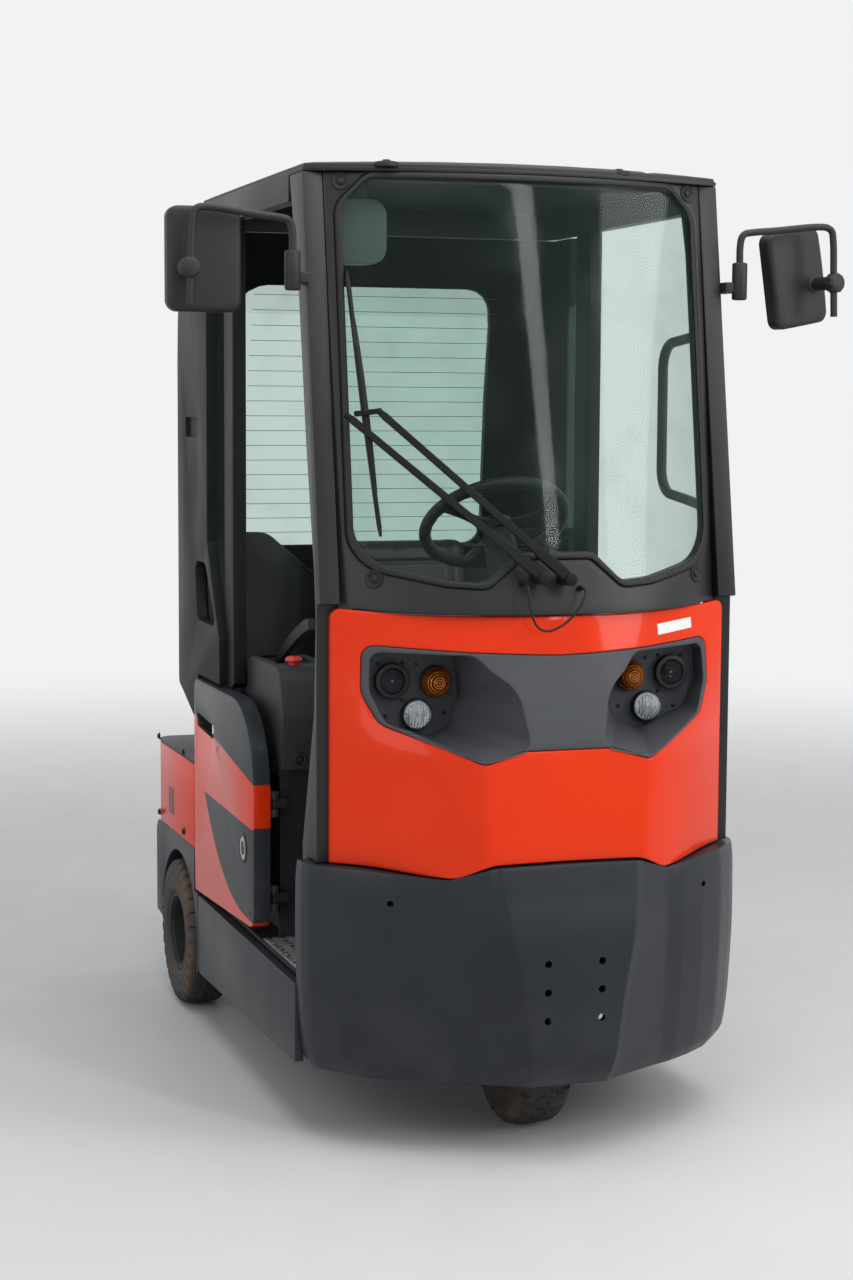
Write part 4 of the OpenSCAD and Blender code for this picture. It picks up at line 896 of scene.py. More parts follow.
# Cab steel: bent front pillars, a welded roof ring and a moulded roof skin over it.
# The steel is painted satin black like the windscreen's surround.
def welded(name, node, material, slot, bevel=0.0015, sharp=30.0, body="vehicle"):
    """The node's plates as one mesh, joined at their corners, with softened edges."""
    work = bmesh.new()
    work.from_mesh(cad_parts[node].data)
    bmesh.ops.remove_doubles(work, verts=work.verts, dist=2e-5)
    bmesh.ops.dissolve_degenerate(work, edges=work.edges, dist=1e-5)
    bmesh.ops.recalc_face_normals(work, faces=work.faces)
    bmesh.ops.dissolve_limit(work, angle_limit=math.radians(0.6), verts=work.verts,
                             edges=work.edges)
    hard = [e for e in work.edges if len(e.link_faces) == 2
            and e.calc_face_angle(0) > math.radians(sharp)
            and e.calc_length() > 0.0]
    if bevel:
        bmesh.ops.bevel(work, geom=hard, offset=bevel, segments=2, profile=0.6, affect="EDGES",
                        clamp_overlap=True, harden_normals=False)
    bmesh.ops.dissolve_degenerate(work, edges=work.edges, dist=1e-6)
    mesh = bpy.data.meshes.new(name)
    work.to_mesh(mesh)
    work.free()
    return fitted(name, mesh, material, slot, (node,), 28, body)


welded("front_pillar_bars", "front_pillars", frame_black, "frame_steel", 0.004, 25)
welded("roof_ring", "roof_frame", frame_black, "frame_steel", 0.003, 25)
roof_half, roof_front, roof_back, roof_bow = 0.476, -0.600, 0.486, 0.085


def roof_loop(i):
    """The roof's outline, drawn in by i: its front edge is bowed."""
    w = roof_half - i
    half = [(w * k / 12, roof_front + i + roof_bow * (k / 12) ** 2, 0) for k in range(13)]
    half += [(w, 0.436, 0.0), (w - 0.015, 0.472, 0.02), (w - 0.050, roof_back - i, 0.03)]
    return anticlockwise(arcs(both(half)))


def crown(x, y):
    """Height of the roof skin: crowned, rolled down at its rim, with shallow grooves."""
    rim_z = 2.0763
    t = (y - roof_front) / 1.086 * 2 - 1
    z = 2.092 - 0.009 * (x / roof_half) ** 2 - 0.009 * t ** 4
    ring = min(roof_half - abs(x), y - roof_front - roof_bow * (x / roof_half) ** 2, roof_back - y)
    if ring < 0.030:
        z -= (z - rim_z) * (1 - max(0.0, (ring - 0.004) / 0.026)) ** 2.2
    groove = min(abs(abs(x) - 0.300), abs(y + 0.430) + (0 if abs(x) < 0.3 else 1))
    return max(z - 0.0035 * math.exp(-(groove / 0.007) ** 2), rim_z)


piece("roof_skin", shell(roof_loop(0.004), [], 0.016, crown, lambda x, y: 2.0703, lying=True),
      rubbery("roof skin moulding", (0.022, 0.023, 0.026), (0.10, 0.10, 0.10), 800.0, 0.55),
      "black_moulding", ("roof_panel",))


# Rear of the cab: folded steel side walls and back wall with their window openings, the
# upright door posts, and glass; the rear pane has fine heater lines printed on its inside.
cab_black = satin("cab wall satin black", (0.0095, 0.010, 0.0115), (0.013, 0.0135, 0.015), 0.50)
welded("rear_cab_walls", "rear_cab", cab_black, "frame_steel", 0.003, 25)
welded("door_post_bars", "door_posts", cab_black, "frame_steel", 0.003, 25)
welded("cab_panes", "cab_windows", clear("side glass", (0.82, 0.905, 0.875), (0.030, 0.050, 0.046),
                                         0.015),
       "window_glass", 0.0)


def repeats(name, count, size, material, slot, build, body="vehicle"):
    """Geometry Nodes build from named inputs, made into one plain mesh."""
    tree = bpy.data.node_groups.new(name, "GeometryNodeTree")
    face = tree.interface
    face.new_socket("Geometry", in_out="OUTPUT", socket_type="NodeSocketGeometry")
    ids = [face.new_socket(title, in_out="INPUT", socket_type="NodeSocket" + kind).identifier
           for title, kind in (("Count", "Int"), ("Size", "Float"))]
    start, end = tree.nodes.new("NodeGroupInput"), tree.nodes.new("NodeGroupOutput")

    def node(kind, values=(), out=0, **settings):
        made = tree.nodes.new(kind if kind.startswith("Shader") else "GeometryNode" + kind)
        for key, value in settings.items():
            setattr(made, key, value)
        for key, value in dict(values).items():
            if isinstance(value, (bpy.types.NodeSocket, list)):
                for source in value if isinstance(value, list) else [value]:
                    tree.links.new(source, made.inputs[key])
            else:
                made.inputs[key].default_value = value
        return made.outputs[out]

    copies = node("RealizeInstances", {0: build(node, start.outputs[0], start.outputs[1])})
    tree.links.new(node("SetMaterial", {0: copies, "Material": material}), end.inputs[0])
    holder = bpy.data.objects.new(name + "_holder", bpy.data.meshes.new(name + "_seed"))
    bpy.context.scene.collection.objects.link(holder)
    step = holder.modifiers.new("repeat", "NODES")
    step.node_group = tree
    step[ids[0]], step[ids[1]] = count, size
    mesh = evaluated(holder)
    mesh.name = name
    return fitted(name, mesh, material, slot, body=body)


def pane_lines(node, count, size):
    """Level wires one above the other on the leaning rear pane."""
    line = node("MeshLine", {"Count": count, "Start Location": (0.0, 0.6757, 1.236),
                             "Offset": (0.0, -0.0111, 0.0385)}, mode="OFFSET")
    wire = node("MeshCube", {"Size": node("ShaderNodeCombineXYZ", {0: size, 1: 0.0006, 2: 0.0014})})
    return node("InstanceOnPoints", {"Points": line, "Instance": wire})


heater_paint = mottled("heater lines", 60.0, (0.10, 0.045, 0.02), (0.16, 0.08, 0.04), 120.0, 0.45,
                       0.65)
repeats("rear_heater_lines", 17, 0.66, heater_paint, "window_glass", pane_lines)


# Windscreen screws: domed caps in round cups that are pressed into the surround near
# its four corners. Cup and cap lie square to the curved frame.
def placed(form, move):
    """The form with each point sent through move(x, y, z)."""
    return [move(*p) for p in form[0]], form[1]


cup = mm((20, -3), (20, 1.2), (18.5, 3), (16, 3.4), (13.5, 1.6), (11, 0.8), (10.8, -3))
cap = mm((8.5, -3), (8.5, 2), (7.2, 3.6), (4.5, 4.6), (1, 5))
parts = []
for x, z in [(s * x, z) for s in (-1, 1) for x, z in ((0.398, 2.040), (0.366, 1.211))]:
    at = Vector((x, screen_y(x, z) + 0.006, z))
    lean = Vector((screen_y(x + 0.005, z) - screen_y(x - 0.005, z), -0.010,
                   screen_y(x, z + 0.005) - screen_y(x, z - 0.005)))
    turn_to = Vector((0, -1, 0)).rotation_difference(lean).to_matrix()
    parts += [placed(spun(profile, sides=sides), lambda *p: at + turn_to @ Vector(p))
              for profile, sides in ((cup, 36), (cap, 24))]
piece("windscreen_screws", joined(parts), seal_black, "black_moulding")


# Frame and step: a welded plate chassis in satin anthracite with side sills, and a
# galvanised tread plate in the doorway whose raised teardrops are worn dark.
chassis_paint = satin("chassis anthracite", (0.0165, 0.0185, 0.0225), (0.022, 0.024, 0.028), 0.46)
welded("chassis_weldment", "chassis", chassis_paint, "frame_steel", 0.002)
welded("sill_plates", "side_sills", anthracite_satin, "anthracite_paint", 0.003)


def galvanised(place):
    """Zinc spangle under dirt."""
    spangle = place.cells(130.0, "Color").axes()[0]
    dirt = place.noise(17.0, 6.0, 0.65).ease(0.46, 0.7)
    return {"Base Color": dirt.mix(spangle.mix((0.36, 0.365, 0.37), (0.50, 0.505, 0.51)),
                                   (0.10, 0.095, 0.09)),
            "Roughness": spangle * 0.18 + dirt * 0.25 + 0.30,
            "relief": (place.noise(30.0, 4.0), 0.0002)}


welded("step_plate", "step_floor", surface("galvanised plate", galvanised, Metallic=0.75),
       "tread_plate", 0.0008)


def teardrops(node, count, size):
    """Rows of raised lozenges on the plate, turned one way and the other in turn, which stop
    at the rim of the wheel's hump."""
    hump, hump_reach = (0.0, -0.600, 0.3453), 0.235
    grid = node("MeshGrid", {"Size X": 0.928, "Size Y": 0.348, "Vertices X": count,
                             "Vertices Y": 13})
    set_at = node("Transform", {"Geometry": grid, "Translation": (0.0, -0.356, 0.3453)})
    reach = node("ShaderNodeVectorMath", {0: node("InputPosition"), 1: hump}, 1,
                 operation="DISTANCE")
    off_hump = node("ShaderNodeMath", {0: reach, 1: hump_reach}, operation="GREATER_THAN")
    parity = node("ShaderNodeMath", {0: node("InputIndex"), 1: 2.0}, operation="MODULO")
    turn = node("ShaderNodeMath", {0: parity, 1: math.pi / 2, 2: math.pi / 4},
                operation="MULTIPLY_ADD")
    return node("InstanceOnPoints", {
        "Points": set_at, "Selection": off_hump,
        "Rotation": node("ShaderNodeCombineXYZ", {2: turn}),
        "Instance": node("MeshUVSphere", {"Segments": 8, "Rings": 5, "Radius": 0.5}),
        "Scale": node("ShaderNodeCombineXYZ", {0: size, 1: 0.007, 2: 0.0034})})


drop_steel = surface("worn teardrop steel", lambda place: {
    "Base Color": place.noise(60.0, 4.0).ease(0.4, 0.62).mix((0.020, 0.019, 0.019),
                                                             (0.075, 0.075, 0.075)),
    "Roughness": place.noise(140.0).spread(0.3, 0.55)}, Metallic=0.6)
repeats("tread_teardrops", 31, 0.020, drop_steel, "tread_plate", teardrops)


# Battery bay: the seat base's folded steel box, the battery tray inside it, and a door
# each side, sprayed orange round a dark leaf-shaped field, with a slanted grip slot.
bay_paint = satin("seat base satin", (0.020, 0.021, 0.024), (0.028, 0.029, 0.032), 0.50)
welded("seat_base_box", "seat_base", bay_paint, "frame_steel", 0.003)


def enamel(place):
    """Grey enamel with a few rust spots."""
    broad = place.noise(4.0, 5.0)
    rust = place.noise(24.0, 6.0, 0.7).ease(0.66, 0.74)
    return {"Base Color": rust.mix(broad.mix((0.055, 0.058, 0.062), (0.075, 0.078, 0.082)),
                                   (0.13, 0.055, 0.025)),
            "Roughness": broad * 0.15 + rust * 0.3 + 0.42,
            "relief": (place.noise(300.0) - rust, 0.0002)}


welded("battery_tray", "battery", surface("battery tray enamel", enamel), "battery_steel", 0.003)


def door_vary(place):
    """Colours by height and length along the door: grey head, orange, dark leaf, orange foot."""
    x, y, z = place.axes()
    x = x.size()

    def over(value, soft=0.0012):
        return value.ease(-soft, soft)

    def under(value, soft=0.0012):
        return value.ease(-soft, soft, 1.0, 0.0)

    broad = place.noise(2.4, 5.0)
    low = z.ease(0.32, 0.62, 0.10, 0.0) * place.noise(14.0, 5.0).ease(0.35, 0.7)
    head = over(z - 0.7675 - (y - 0.240) * 0.142)
    upper = z - (0.613 - (0.314 - y) * 0.026)
    foot = z - (0.384 + ((y + 0.183).most(0.0) ** 2.55) * 1.38)
    leaf = under(upper) * over(foot) * under(y - 0.314)
    nose = under((z - 0.663).size() - 0.057, 0.001).most(under(z - 0.404, 0.001))
    # The grip slot's inner walls take the dark grey: painted shade inside the recessed slot.
    slot = (x.ease(0.5025, 0.5035, 1.0, 0.0) * (z - 0.775).size().ease(0.060, 0.062, 1.0, 0.0)
            * (y - 0.300).size().ease(0.130, 0.132, 1.0, 0.0))
    hinge_side = under(x - 0.4640, 0.001)
    dark = head.most(leaf).most(under(y + 0.185) * (1.0 - nose)).most(slot.most(hinge_side))
    grime = broad.ease()
    paint_now = dark.mix(grime.mix(orange_dark, orange),
                         grime.mix((0.030, 0.034, 0.040), (0.038, 0.042, 0.049)))
    return {"Base Color": low.mix(paint_now, old_dust),
            "Roughness": dark * 0.16 + broad.spread(0.0, 0.07) + low * 0.4 + 0.19,
            "Coat Weight": (low + dark * 0.4).ease(0.0, 0.6, 0.3, 0.03),
            "relief": (place.noise(340.0, 2.0), 0.00005)}


zinc = surface("zinc plated steel", lambda place: {
    "Base Color": place.noise(160.0, 4.0).tones((0.42, 0.42, 0.41), (0.58, 0.58, 0.56)),
    "Roughness": place.noise(160.0, 4.0).ease(0.2, 0.8, 0.28, 0.52),
    "relief": (place.noise(1400.0), 0.00005)}, Metallic=0.9)
door_paint = surface("battery door paint", door_vary, Coat_Roughness=0.06, Coat_IOR=1.4,
                     Specular_IOR_Level=0.1)
badge_ring = mm((37, -1), (37, 1), (34.5, 2.2), (29, 2), (27, -1))
badge_cap = mm((16.8, -1), (16.5, 1.2), (12, 1.6), (3, 1.8), (0.6, 2))
badge_band = mm((27.2, -0.5), (27, 0.8), (22.5, 1.6), (17.2, 1), (16.6, -0.5))
door_plug = mm((5.8, -1), (5.5, 0.7), (4, 1.2), (0.5, 1.3))
for side, s in (("right", -1), ("left", 1)):
    def on_door(form):
        """Turn a forward-facing form to face outwards at the middle of the door's leaf."""
        return placed(form, lambda x, y, z: (s * (0.5052 - y), -0.0925 + x, 0.543 + z))

    door, body = "battery_door_" + side, "door_" + side
    welded(door + "_panel", door, door_paint, "orange_paint", 0.003, body=body)
    rings = [spun(badge_ring, sides=56), spun(badge_cap, sides=40),
             spun(door_plug, (-0.0615, 0, -0.141), 24)]
    piece(door + "_badge_ring", on_door(joined(rings)), ring_black, "dark_moulding", body=body)
    piece(door + "_badge_band", on_door(spun(badge_band, sides=56)), zinc, "frame_steel", body=body)


# Side consoles: moulded boxes beside the seat, textured dark grey, the right one with a
# red mushroom stop button. Screws in cups hold their front covers.
console_grain = rubbery("console moulding", (0.026, 0.027, 0.030), (0.09, 0.09, 0.09), 1100.0, 0.56)
welded("console_boxes", "side_consoles", console_grain, "dark_moulding", 0.006)


def button_red(place):
    """Red moulding, rubbed paler where hands strike it."""
    tone, rub = place.noise(38.0, 4.0), place.noise(120.0, 5.0, 0.7).ease(0.62, 0.74)
    return {"Base Color": rub.mix(tone.mix((0.62, 0.018, 0.022), (0.78, 0.030, 0.034)),
                                  (0.55, 0.16, 0.15)),
            "Roughness": tone * 0.12 + rub * 0.2 + 0.26,
            "relief": (place.noise(900.0), 0.00004)}


cover_cup = mm((13.5, -1), (13.5, 1), (11.8, 2), (10, 1.2), (9.6, -1))
cover_head = mm((7.8, -1), (7.5, 1.6), (4.2, 2.7), (0.5, 2.9))
piece("console_cover_screws",
      joined(spun(profile, (s * 0.397, -0.1995, 0.762), 28) for s in (-1, 1)
             for profile in (cover_cup, cover_head)),
      ring_black, "dark_moulding")
button_x, button_y, button_z = -0.390, -0.120, 0.9722
mushroom = mm((12.5, 0), (12.5, 6), (14.5, 7.2), (18.8, 8.5), (19.8, 10.8), (19.6, 14.2),
              (18.2, 17.2), (15.5, 19.6), (11, 21.1), (5, 21.7), (0.6, 21.8))
piece("stop_button_cap",
      placed(spun(mushroom, sides=44), lambda x, y, z: (button_x + x, button_y + z, button_z - y)),
      surface("red button moulding", button_red), "red_button", ("stop_button",))


# Dash and steering: a moulded housing over the hump with a steering column, a small
# blank display and a row of rocker switches, and a foam-covered three-spoke wheel.
welded("dash_housing", "dash", console_grain, "dark_moulding", 0.005)


def block(low, high, edge=0.002, turn=None, at=None):
    """A box with softened edges, turned about its own middle."""
    work = bmesh.new()
    bmesh.ops.create_cube(work, size=1.0)
    size = Vector(high) - Vector(low)
    for v in work.verts:
        v.co = Vector(v.co[k] * size[k] for k in range(3))
    bmesh.ops.bevel(work, geom=list(work.edges), offset=edge, segments=3, profile=0.6,
                    affect="EDGES")
    move = Matrix.Translation(at or (Vector(high) + Vector(low)) / 2) @ (turn or Matrix.Identity(4))
    points = [tuple(move @ v.co) for v in work.verts]
    faces = [tuple(v.index for v in f.verts) for f in work.faces]
    work.free()
    return points, faces


face_turn = Matrix.Rotation(math.radians(-12.2), 4, "X")
face_y, face_z = -0.4405, 1.0925
parts = [block((0.165, 0, 0), (0.305, 0.006, 0.058), 0.0025, face_turn, (0.235, face_y, face_z))]
parts += [block((0, 0, 0), (0.026, 0.008, 0.040), 0.002, face_turn,
                (-0.300 + 0.036 * k, face_y, face_z))
          for k in range(4)]
piece("dash_display_and_switches", joined(parts), ring_black, "black_moulding", sharp=30)
tilt = Matrix.Translation((0, -0.400, 1.310)) @ Matrix.Rotation(math.radians(-37), 4, "X")
grip_sides, grip_rows, grip_ring = 20, 168, 0.1585
grip = []
for a in (2 * math.pi * k / grip_rows for k in range(grip_rows)):
    for b in (2 * math.pi * j / grip_sides for j in range(grip_sides)):
        r = 0.0138 - 0.0011 * max(0.0, math.sin(b - 2.5)) * (0.5 + 0.5 * math.cos(24 * a)) ** 2
        reach = grip_ring + r * math.cos(b)
        grip.append(tilt @ Vector((reach * math.cos(a), reach * math.sin(a), r * math.sin(b))))
hub_profile = mm((0.2, -30), (40, -30), (43.8, -24), (44, -18), (42.8, -6), (38, -0.8), (26, 2),
                 (24.5, 1.2), (22.5, 2.2), (0.2, 3))
hub_points, _ = placed(spun(hub_profile, sides=40), lambda x, y, z: tilt @ Vector((x, z, -y)))
parts = [(grip, skin(grip_rows, grip_sides, looped=True)), (hub_points, skin(len(hub_profile), 40))]
spoke_form = ((-1, -0.2), (-0.8, -1), (0.8, -1), (1, -0.2), (1, 0.3), (0.7, 1), (0.15, 0.62),
              (-0.15, 0.62),
              (-0.7, 1), (-1, 0.3))
spoke_rows, across_spoke = 13, len(spoke_form)
for angle in (90, 210, 330):
    turn = tilt @ Matrix.Rotation(math.radians(angle), 4, "Z")
    spoke = []
    for t in (k / (spoke_rows - 1) for k in range(spoke_rows)):
        half_wide, drop = 0.0125 + 0.0085 * (2 * t - 1) ** 2, -0.013 + 0.006 * t * t
        spoke += [turn @ Vector((0.034 + t * 0.118, y * half_wide, drop + z * 0.0045))
                  for y, z in spoke_form]
    parts.append((spoke, skin(spoke_rows, across_spoke) + ends(spoke_rows, across_spoke)))
piece("steering_wheel_rim", joined(parts),
      rubbery("wheel grip foam", (0.013, 0.013, 0.014), (0.06, 0.06, 0.06), 1300.0, 0.5),
      "black_moulding",
      ("steering_wheel",), body="hand_wheel")
stalks = []
for s, tip, thin, thick in ((1, [(0.095, -0.004, -0.056), (0.128, -0.010, -0.052)], 10, 5),
                            (-1, [(0.092, -0.003, -0.058)], 6, 4)):
    line = [tilt @ Vector((s * x, y, z))
            for x, y, z in [(0.030, 0, -0.062), (0.060, 0, -0.060)] + tip]
    stalks.append(tube(curved(line, 5), [0.0045] * thin + [0.006] * thick + [0.005]))
piece("column_stalks", joined(stalks), ring_black, "black_moulding")


# Pedals: bent steel levers with ribbed rubber pads, hung below the dash. The ribs are
# moulded in one with the pads, which push on over the steel.
welded("pedal_levers", "pedals", bay_paint, "frame_steel", 0.0015)
pedal_lean = Matrix.Rotation(math.radians(-18), 4, "X")
ribs = [block((0, 0, 0), (0.058, 0.0050, 0.0058), 0.0012, pedal_lean,
              Vector((x, -0.500, 0.420)) + pedal_lean @ Vector((0.033, 0.0112, 0.010 + 0.0108 * k)))
        for x in (-0.395, -0.300) for k in range(8)]
piece("pedal_pad_ribs", joined(ribs),
      rubbery("pedal rubber", (0.016, 0.016, 0.017), (0.10, 0.10, 0.095), 1000.0, 0.7, 0.3),
      "black_moulding")


# Lever on the right console: a flat ribbed handle that rises forwards out of a recess.
# It is one black moulding, gripped from above.
def strap(route, wide, thick, flat=(0, 1, 0)):
    """A flat bar along a route; wide and thick are one number or one for each point."""
    route = [Vector(p) for p in route]
    count = len(route)
    points = []
    form = ((-1, -0.5), (-0.8, -0.95), (0, -1), (0.8, -0.95), (1, -0.5), (1, 0.5), (0.8, 0.95),
            (0, 1),
            (-0.8, 0.95), (-1, 0.5))
    for k, (p, w, h) in enumerate(zip(route, listed(wide, count), listed(thick, count))):
        run = (route[min(k + 1, count - 1)] - route[max(k - 1, 0)]).normalized()
        side = run.cross(Vector(flat)).normalized()
        points += [p + side * a * w / 2 + side.cross(run) * b * h / 2 for a, b in form]
    return points, skin(count, len(form)) + ends(count, len(form))


route = curved(mm((-372, 85, 956), (-371, 40, 985), (-370, -60, 1030), (-369, -150, 1063),
                  (-368, -196, 1074)), 8)
n = len(route)
lever_wide = [0.017 + (0.002 if (k // 2) % 2 else 0.0) * (k > n * 0.35) for k in range(n)]
lever_thick = [0.026 + 0.004 * math.sin(math.pi * k / n) for k in range(n)]
piece("console_lever", strap(route, lever_wide, lever_thick, (0, 0.4, 1)), ring_black,
      "black_moulding", sharp=50)


# Seat: foam cushion and back under stitched black vinyl, swollen between seams by their
# filling, in a moulded shell with side wings. Welts and sewn channels are pressed in last.
def vinyl_vary(place):
    """Grained black vinyl, creased across and rubbed paler."""
    broad = place.noise(4.5, 5.0)
    crease = (place * (1.0, 2.2, 1.0)).noise(38.0, 5.0, 0.6).ease(0.55, 0.75)
    rub = place.noise(11.0, 5.0, 0.6).ease(0.58, 0.8)
    return {"Base Color": rub.mix(broad.tones((0.013, 0.013, 0.014), (0.019, 0.019, 0.020)),
                                  (0.048, 0.047, 0.046)),
            "Roughness": broad * 0.12 + rub * 0.14 + 0.38,
            "relief": (place.cells(520.0).ease(0.0, 0.55) + crease * 1.4, 0.00022)}


vinyl = surface("seat vinyl", vinyl_vary)


def stuffed(name, loops, cap, node, seams):
    """Swell a closed form with cloth pressure, keep it inside its solid's box, then sew it."""
    rows, across_form = len(loops), len(loops[0])
    form = [p for loop in loops for p in loop], skin(rows, across_form) + ends(rows, across_form)
    pad = bpy.data.objects.new(name + "_form", meshed(name, *form))
    bpy.context.scene.collection.objects.link(pad)
    even = pad.modifiers.new("even", "REMESH")
    even.mode, even.voxel_size = "VOXEL", 0.0065

    def now():
        graph = bpy.context.evaluated_depsgraph_get()
        return bpy.data.meshes.new_from_object(pad.evaluated_get(graph))

    bpy.context.view_layer.update()
    start_mesh = now()
    pad.modifiers.clear()
    pad.data = start_mesh
    cloth = pad.modifiers.new("cloth", "CLOTH").settings
    cloth.quality, cloth.mass = 6, 0.4
    cloth.tension_stiffness, cloth.bending_stiffness = 12, 0.6
    cloth.use_pressure, cloth.uniform_pressure_force = True, 4
    cloth.effector_weights.gravity = 0
    for f in range(1, 21):
        bpy.context.scene.frame_set(f)
    swollen = now()
    pad.modifiers.clear()
    bpy.context.scene.frame_set(1)
    for v, after in zip(start_mesh.vertices, swollen.vertices):
        move = after.co - v.co
        v.co = v.co + move * cap / move.length if move.length > cap else after.co
    smooth = pad.modifiers.new("smooth", "SUBSURF")
    smooth.levels = smooth.render_levels = 1
    final = evaluated(pad)
    low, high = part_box(node)
    for v in final.vertices:
        v.co += seams(v.co)
        v.co = Vector(min(max(c, a + 0.0006), b - 0.0006) for c, a, b in zip(v.co, low, high))
    final.name = name
    fitted(name, final, vinyl, "seat_fabric", (node,), 60)


def pad_loops(outline, half_wide, count=15, corner=0.035):
    """Closed loops across the seat: each is the side outline, drawn in towards its ends."""
    loops = []
    for k in range(-count, count + 1):
        x = half_wide * math.sin(k / count * math.pi / 2)
        gap = half_wide - abs(x)
        pull = corner * (1 - math.sqrt(max(0.0, 1 - (1 - min(gap / corner, 1.0)) ** 2)))
        loops.append([Vector((x, p.x, p.y)) for p in inset(anticlockwise(outline), pull + 0.004)])
    return loops


def between(value):
    """The value, kept from 0 to 1."""
    return max(0.0, min(1.0, value))


def channels(value, places):
    """How deep a point lies in a row of sewn channels."""
    return sum(math.exp(-((value - place) / 0.0055) ** 2) for place in places)


def cushion_seams(co):
    """Two channels across the sitting face and a seam round its border."""
    across_seat = channels(co.y, (0.055, 0.205)) * between((0.165 - abs(co.x)) / 0.006)
    sink = 0.0065 * between((co.z - 0.80) / 0.02) * (across_seat + channels(co.x, (-0.165, 0.165)))
    flank = Vector((math.copysign(1, co.x) if abs(co.x) > 0.19 else 0, -1 if co.y < -0.04 else 0,
                    0))
    return Vector((0, 0, -sink)) - flank * 0.0035 * math.exp(-((co.z - 0.800) / 0.0045) ** 2)


def back_seams(co):
    """Three channels across the leaning face, between two upright ones."""
    lean_y = 0.303 + (co.z - 0.853) * 0.150
    stitched = channels(co.z, (0.960, 1.070, 1.175)) * between((0.150 - abs(co.x)) / 0.006)
    sink = between((lean_y + 0.030 - co.y) / 0.012) * (stitched + channels(co.x, (-0.150, 0.150)))
    return Vector((0, 0.0060 * sink, 0))


cushion_side = arcs(mm((-66, 741, 20), (366, 741, 20), (366, 845, 18), (285, 845, 60),
                       (195, 834, 120), (15, 842, 120), (-68, 836, 45)), 0.012)
back_side = arcs(mm((303, 853, 18), (368, 853, 18), (424, 1232, 28), (362, 1246, 28)),
                 0.012)
stuffed("seat_cushion_pad", pad_loops(cushion_side, 0.219), 0.009, "seat_cushion",
        cushion_seams)
stuffed("seat_back_pad", pad_loops(back_side, 0.209), 0.008, "seat_back", back_seams)
welded("seat_shell", "seat_surround", console_grain, "black_moulding", 0.006)


# Rear body: folded plate sprayed orange with a louvred vent each side, a dark bolted
# deck over it, and anthracite arches over the wheels.
welded("rear_body_plates", "rear_body", gloss("rear body orange", 0.24, 0.25), "orange_paint",
       0.003)
deck_paint = satin("deck paint", (0.045, 0.047, 0.051), (0.060, 0.062, 0.066), 0.44)
welded("rear_deck_plate", "rear_deck", deck_paint, "deck_steel", 0.003)
welded("wheel_arches", "fenders", anthracite_satin, "anthracite_paint", 0.003)


def louvres(node, count, size):
    """Level slats one above the other on both flanks of the rear body."""
    line = node("MeshLine", {"Count": count, "Start Location": (0.0, 0.708, 0.4925),
                             "Offset": (0.0, 0.0, 0.0070)}, mode="OFFSET")
    slat = node("MeshCube", {"Size": node("ShaderNodeCombineXYZ", {0: 0.0020, 1: size, 2: 0.0042})})
    tipped = node("Transform", {"Geometry": slat, "Rotation": (0.0, 0.5, 0.0)})
    one = node("InstanceOnPoints", {"Points": line, "Instance": tipped})
    return node("JoinGeometry", {0: [
        node("Transform", {"Geometry": one, "Translation": (x, 0.0, 0.0)})
        for x in (-0.5052, 0.5052)]})


def hexagons(node, count, size):
    """Hexagon heads on washers along both flanks, low on the rear body and on the deck's edge."""
    line = node("Transform", {
        "Geometry": node("MeshGrid", {"Size X": 0.208, "Size Y": 0.306, "Vertices X": count,
                                      "Vertices Y": count}),
        "Rotation": (0.0, math.pi / 2, 0.0), "Translation": (0.0, 0.704, 0.572)})
    head = node("MeshCylinder", {"Vertices": 6, "Radius": size, "Depth": 0.0045})
    washer = node("MeshCylinder", {"Vertices": 20, "Radius": 0.0098, "Depth": 0.0016})
    lifted = node("Transform", {"Geometry": head, "Translation": (0.0, 0.0, 0.0030)})
    whole = node("JoinGeometry", {0: [washer, lifted]})
    flat_on = node("Transform", {"Geometry": whole, "Rotation": (0.0, -math.pi / 2, 0.0)})
    one = node("InstanceOnPoints", {"Points": line, "Instance": flat_on})
    right_side = node("Transform", {"Geometry": one, "Translation": (-0.5058, 0.0, 0.0)})
    left_side = node("Transform", {"Geometry": right_side, "Rotation": (0.0, 0.0, math.pi),
                                   "Translation": (0.0, 1.408, 0.0)})
    return node("JoinGeometry", {0: [right_side, left_side]})


repeats("rear_body_vents", 10, 0.060, ring_black, "dark_moulding", louvres)
repeats("rear_body_bolts", 2, 0.0065, ring_black, "frame_steel", hexagons)


# Tail lamps: round red lenses, ribbed in rings, pushed into black moulded rings on the
# rear wall. Each ring is screwed on from inside.
tail_ring = mm((37.5, 0.2), (38, 2), (38, 12), (36, 14), (33, 14.2), (32.5, 8))
tail_lens = mm((32.4, 6), (32.4, 14.5), (29, 18.5), (23, 20.8), (15, 22.2), (0.6, 22.8))


def lens_rings(r, a):
    return 0.00035 * math.sin(r * 2200)


parts, slots = [], []
for s in (-1, 1):
    for tag, (profile, waves) in enumerate(((tail_ring, None), (tail_lens, lens_rings))):
        parts.append(placed(spun(profile, sides=56, waves=waves),
                            lambda x, y, z: (s * 0.400 - x, 0.885 - y, 0.559 + z)))
        slots += [tag] * len(parts[-1][1])
tail = piece("tail_lamp_units", joined(parts),
             [ring_black, clear("red lens", (0.80, 0.03, 0.02), (0.42, 0.008, 0.008), 0.05,
                                1200.0)],
             "lamp_red", ("tail_lamps",))
tail.data.polygons.foreach_set("material_index", slots)


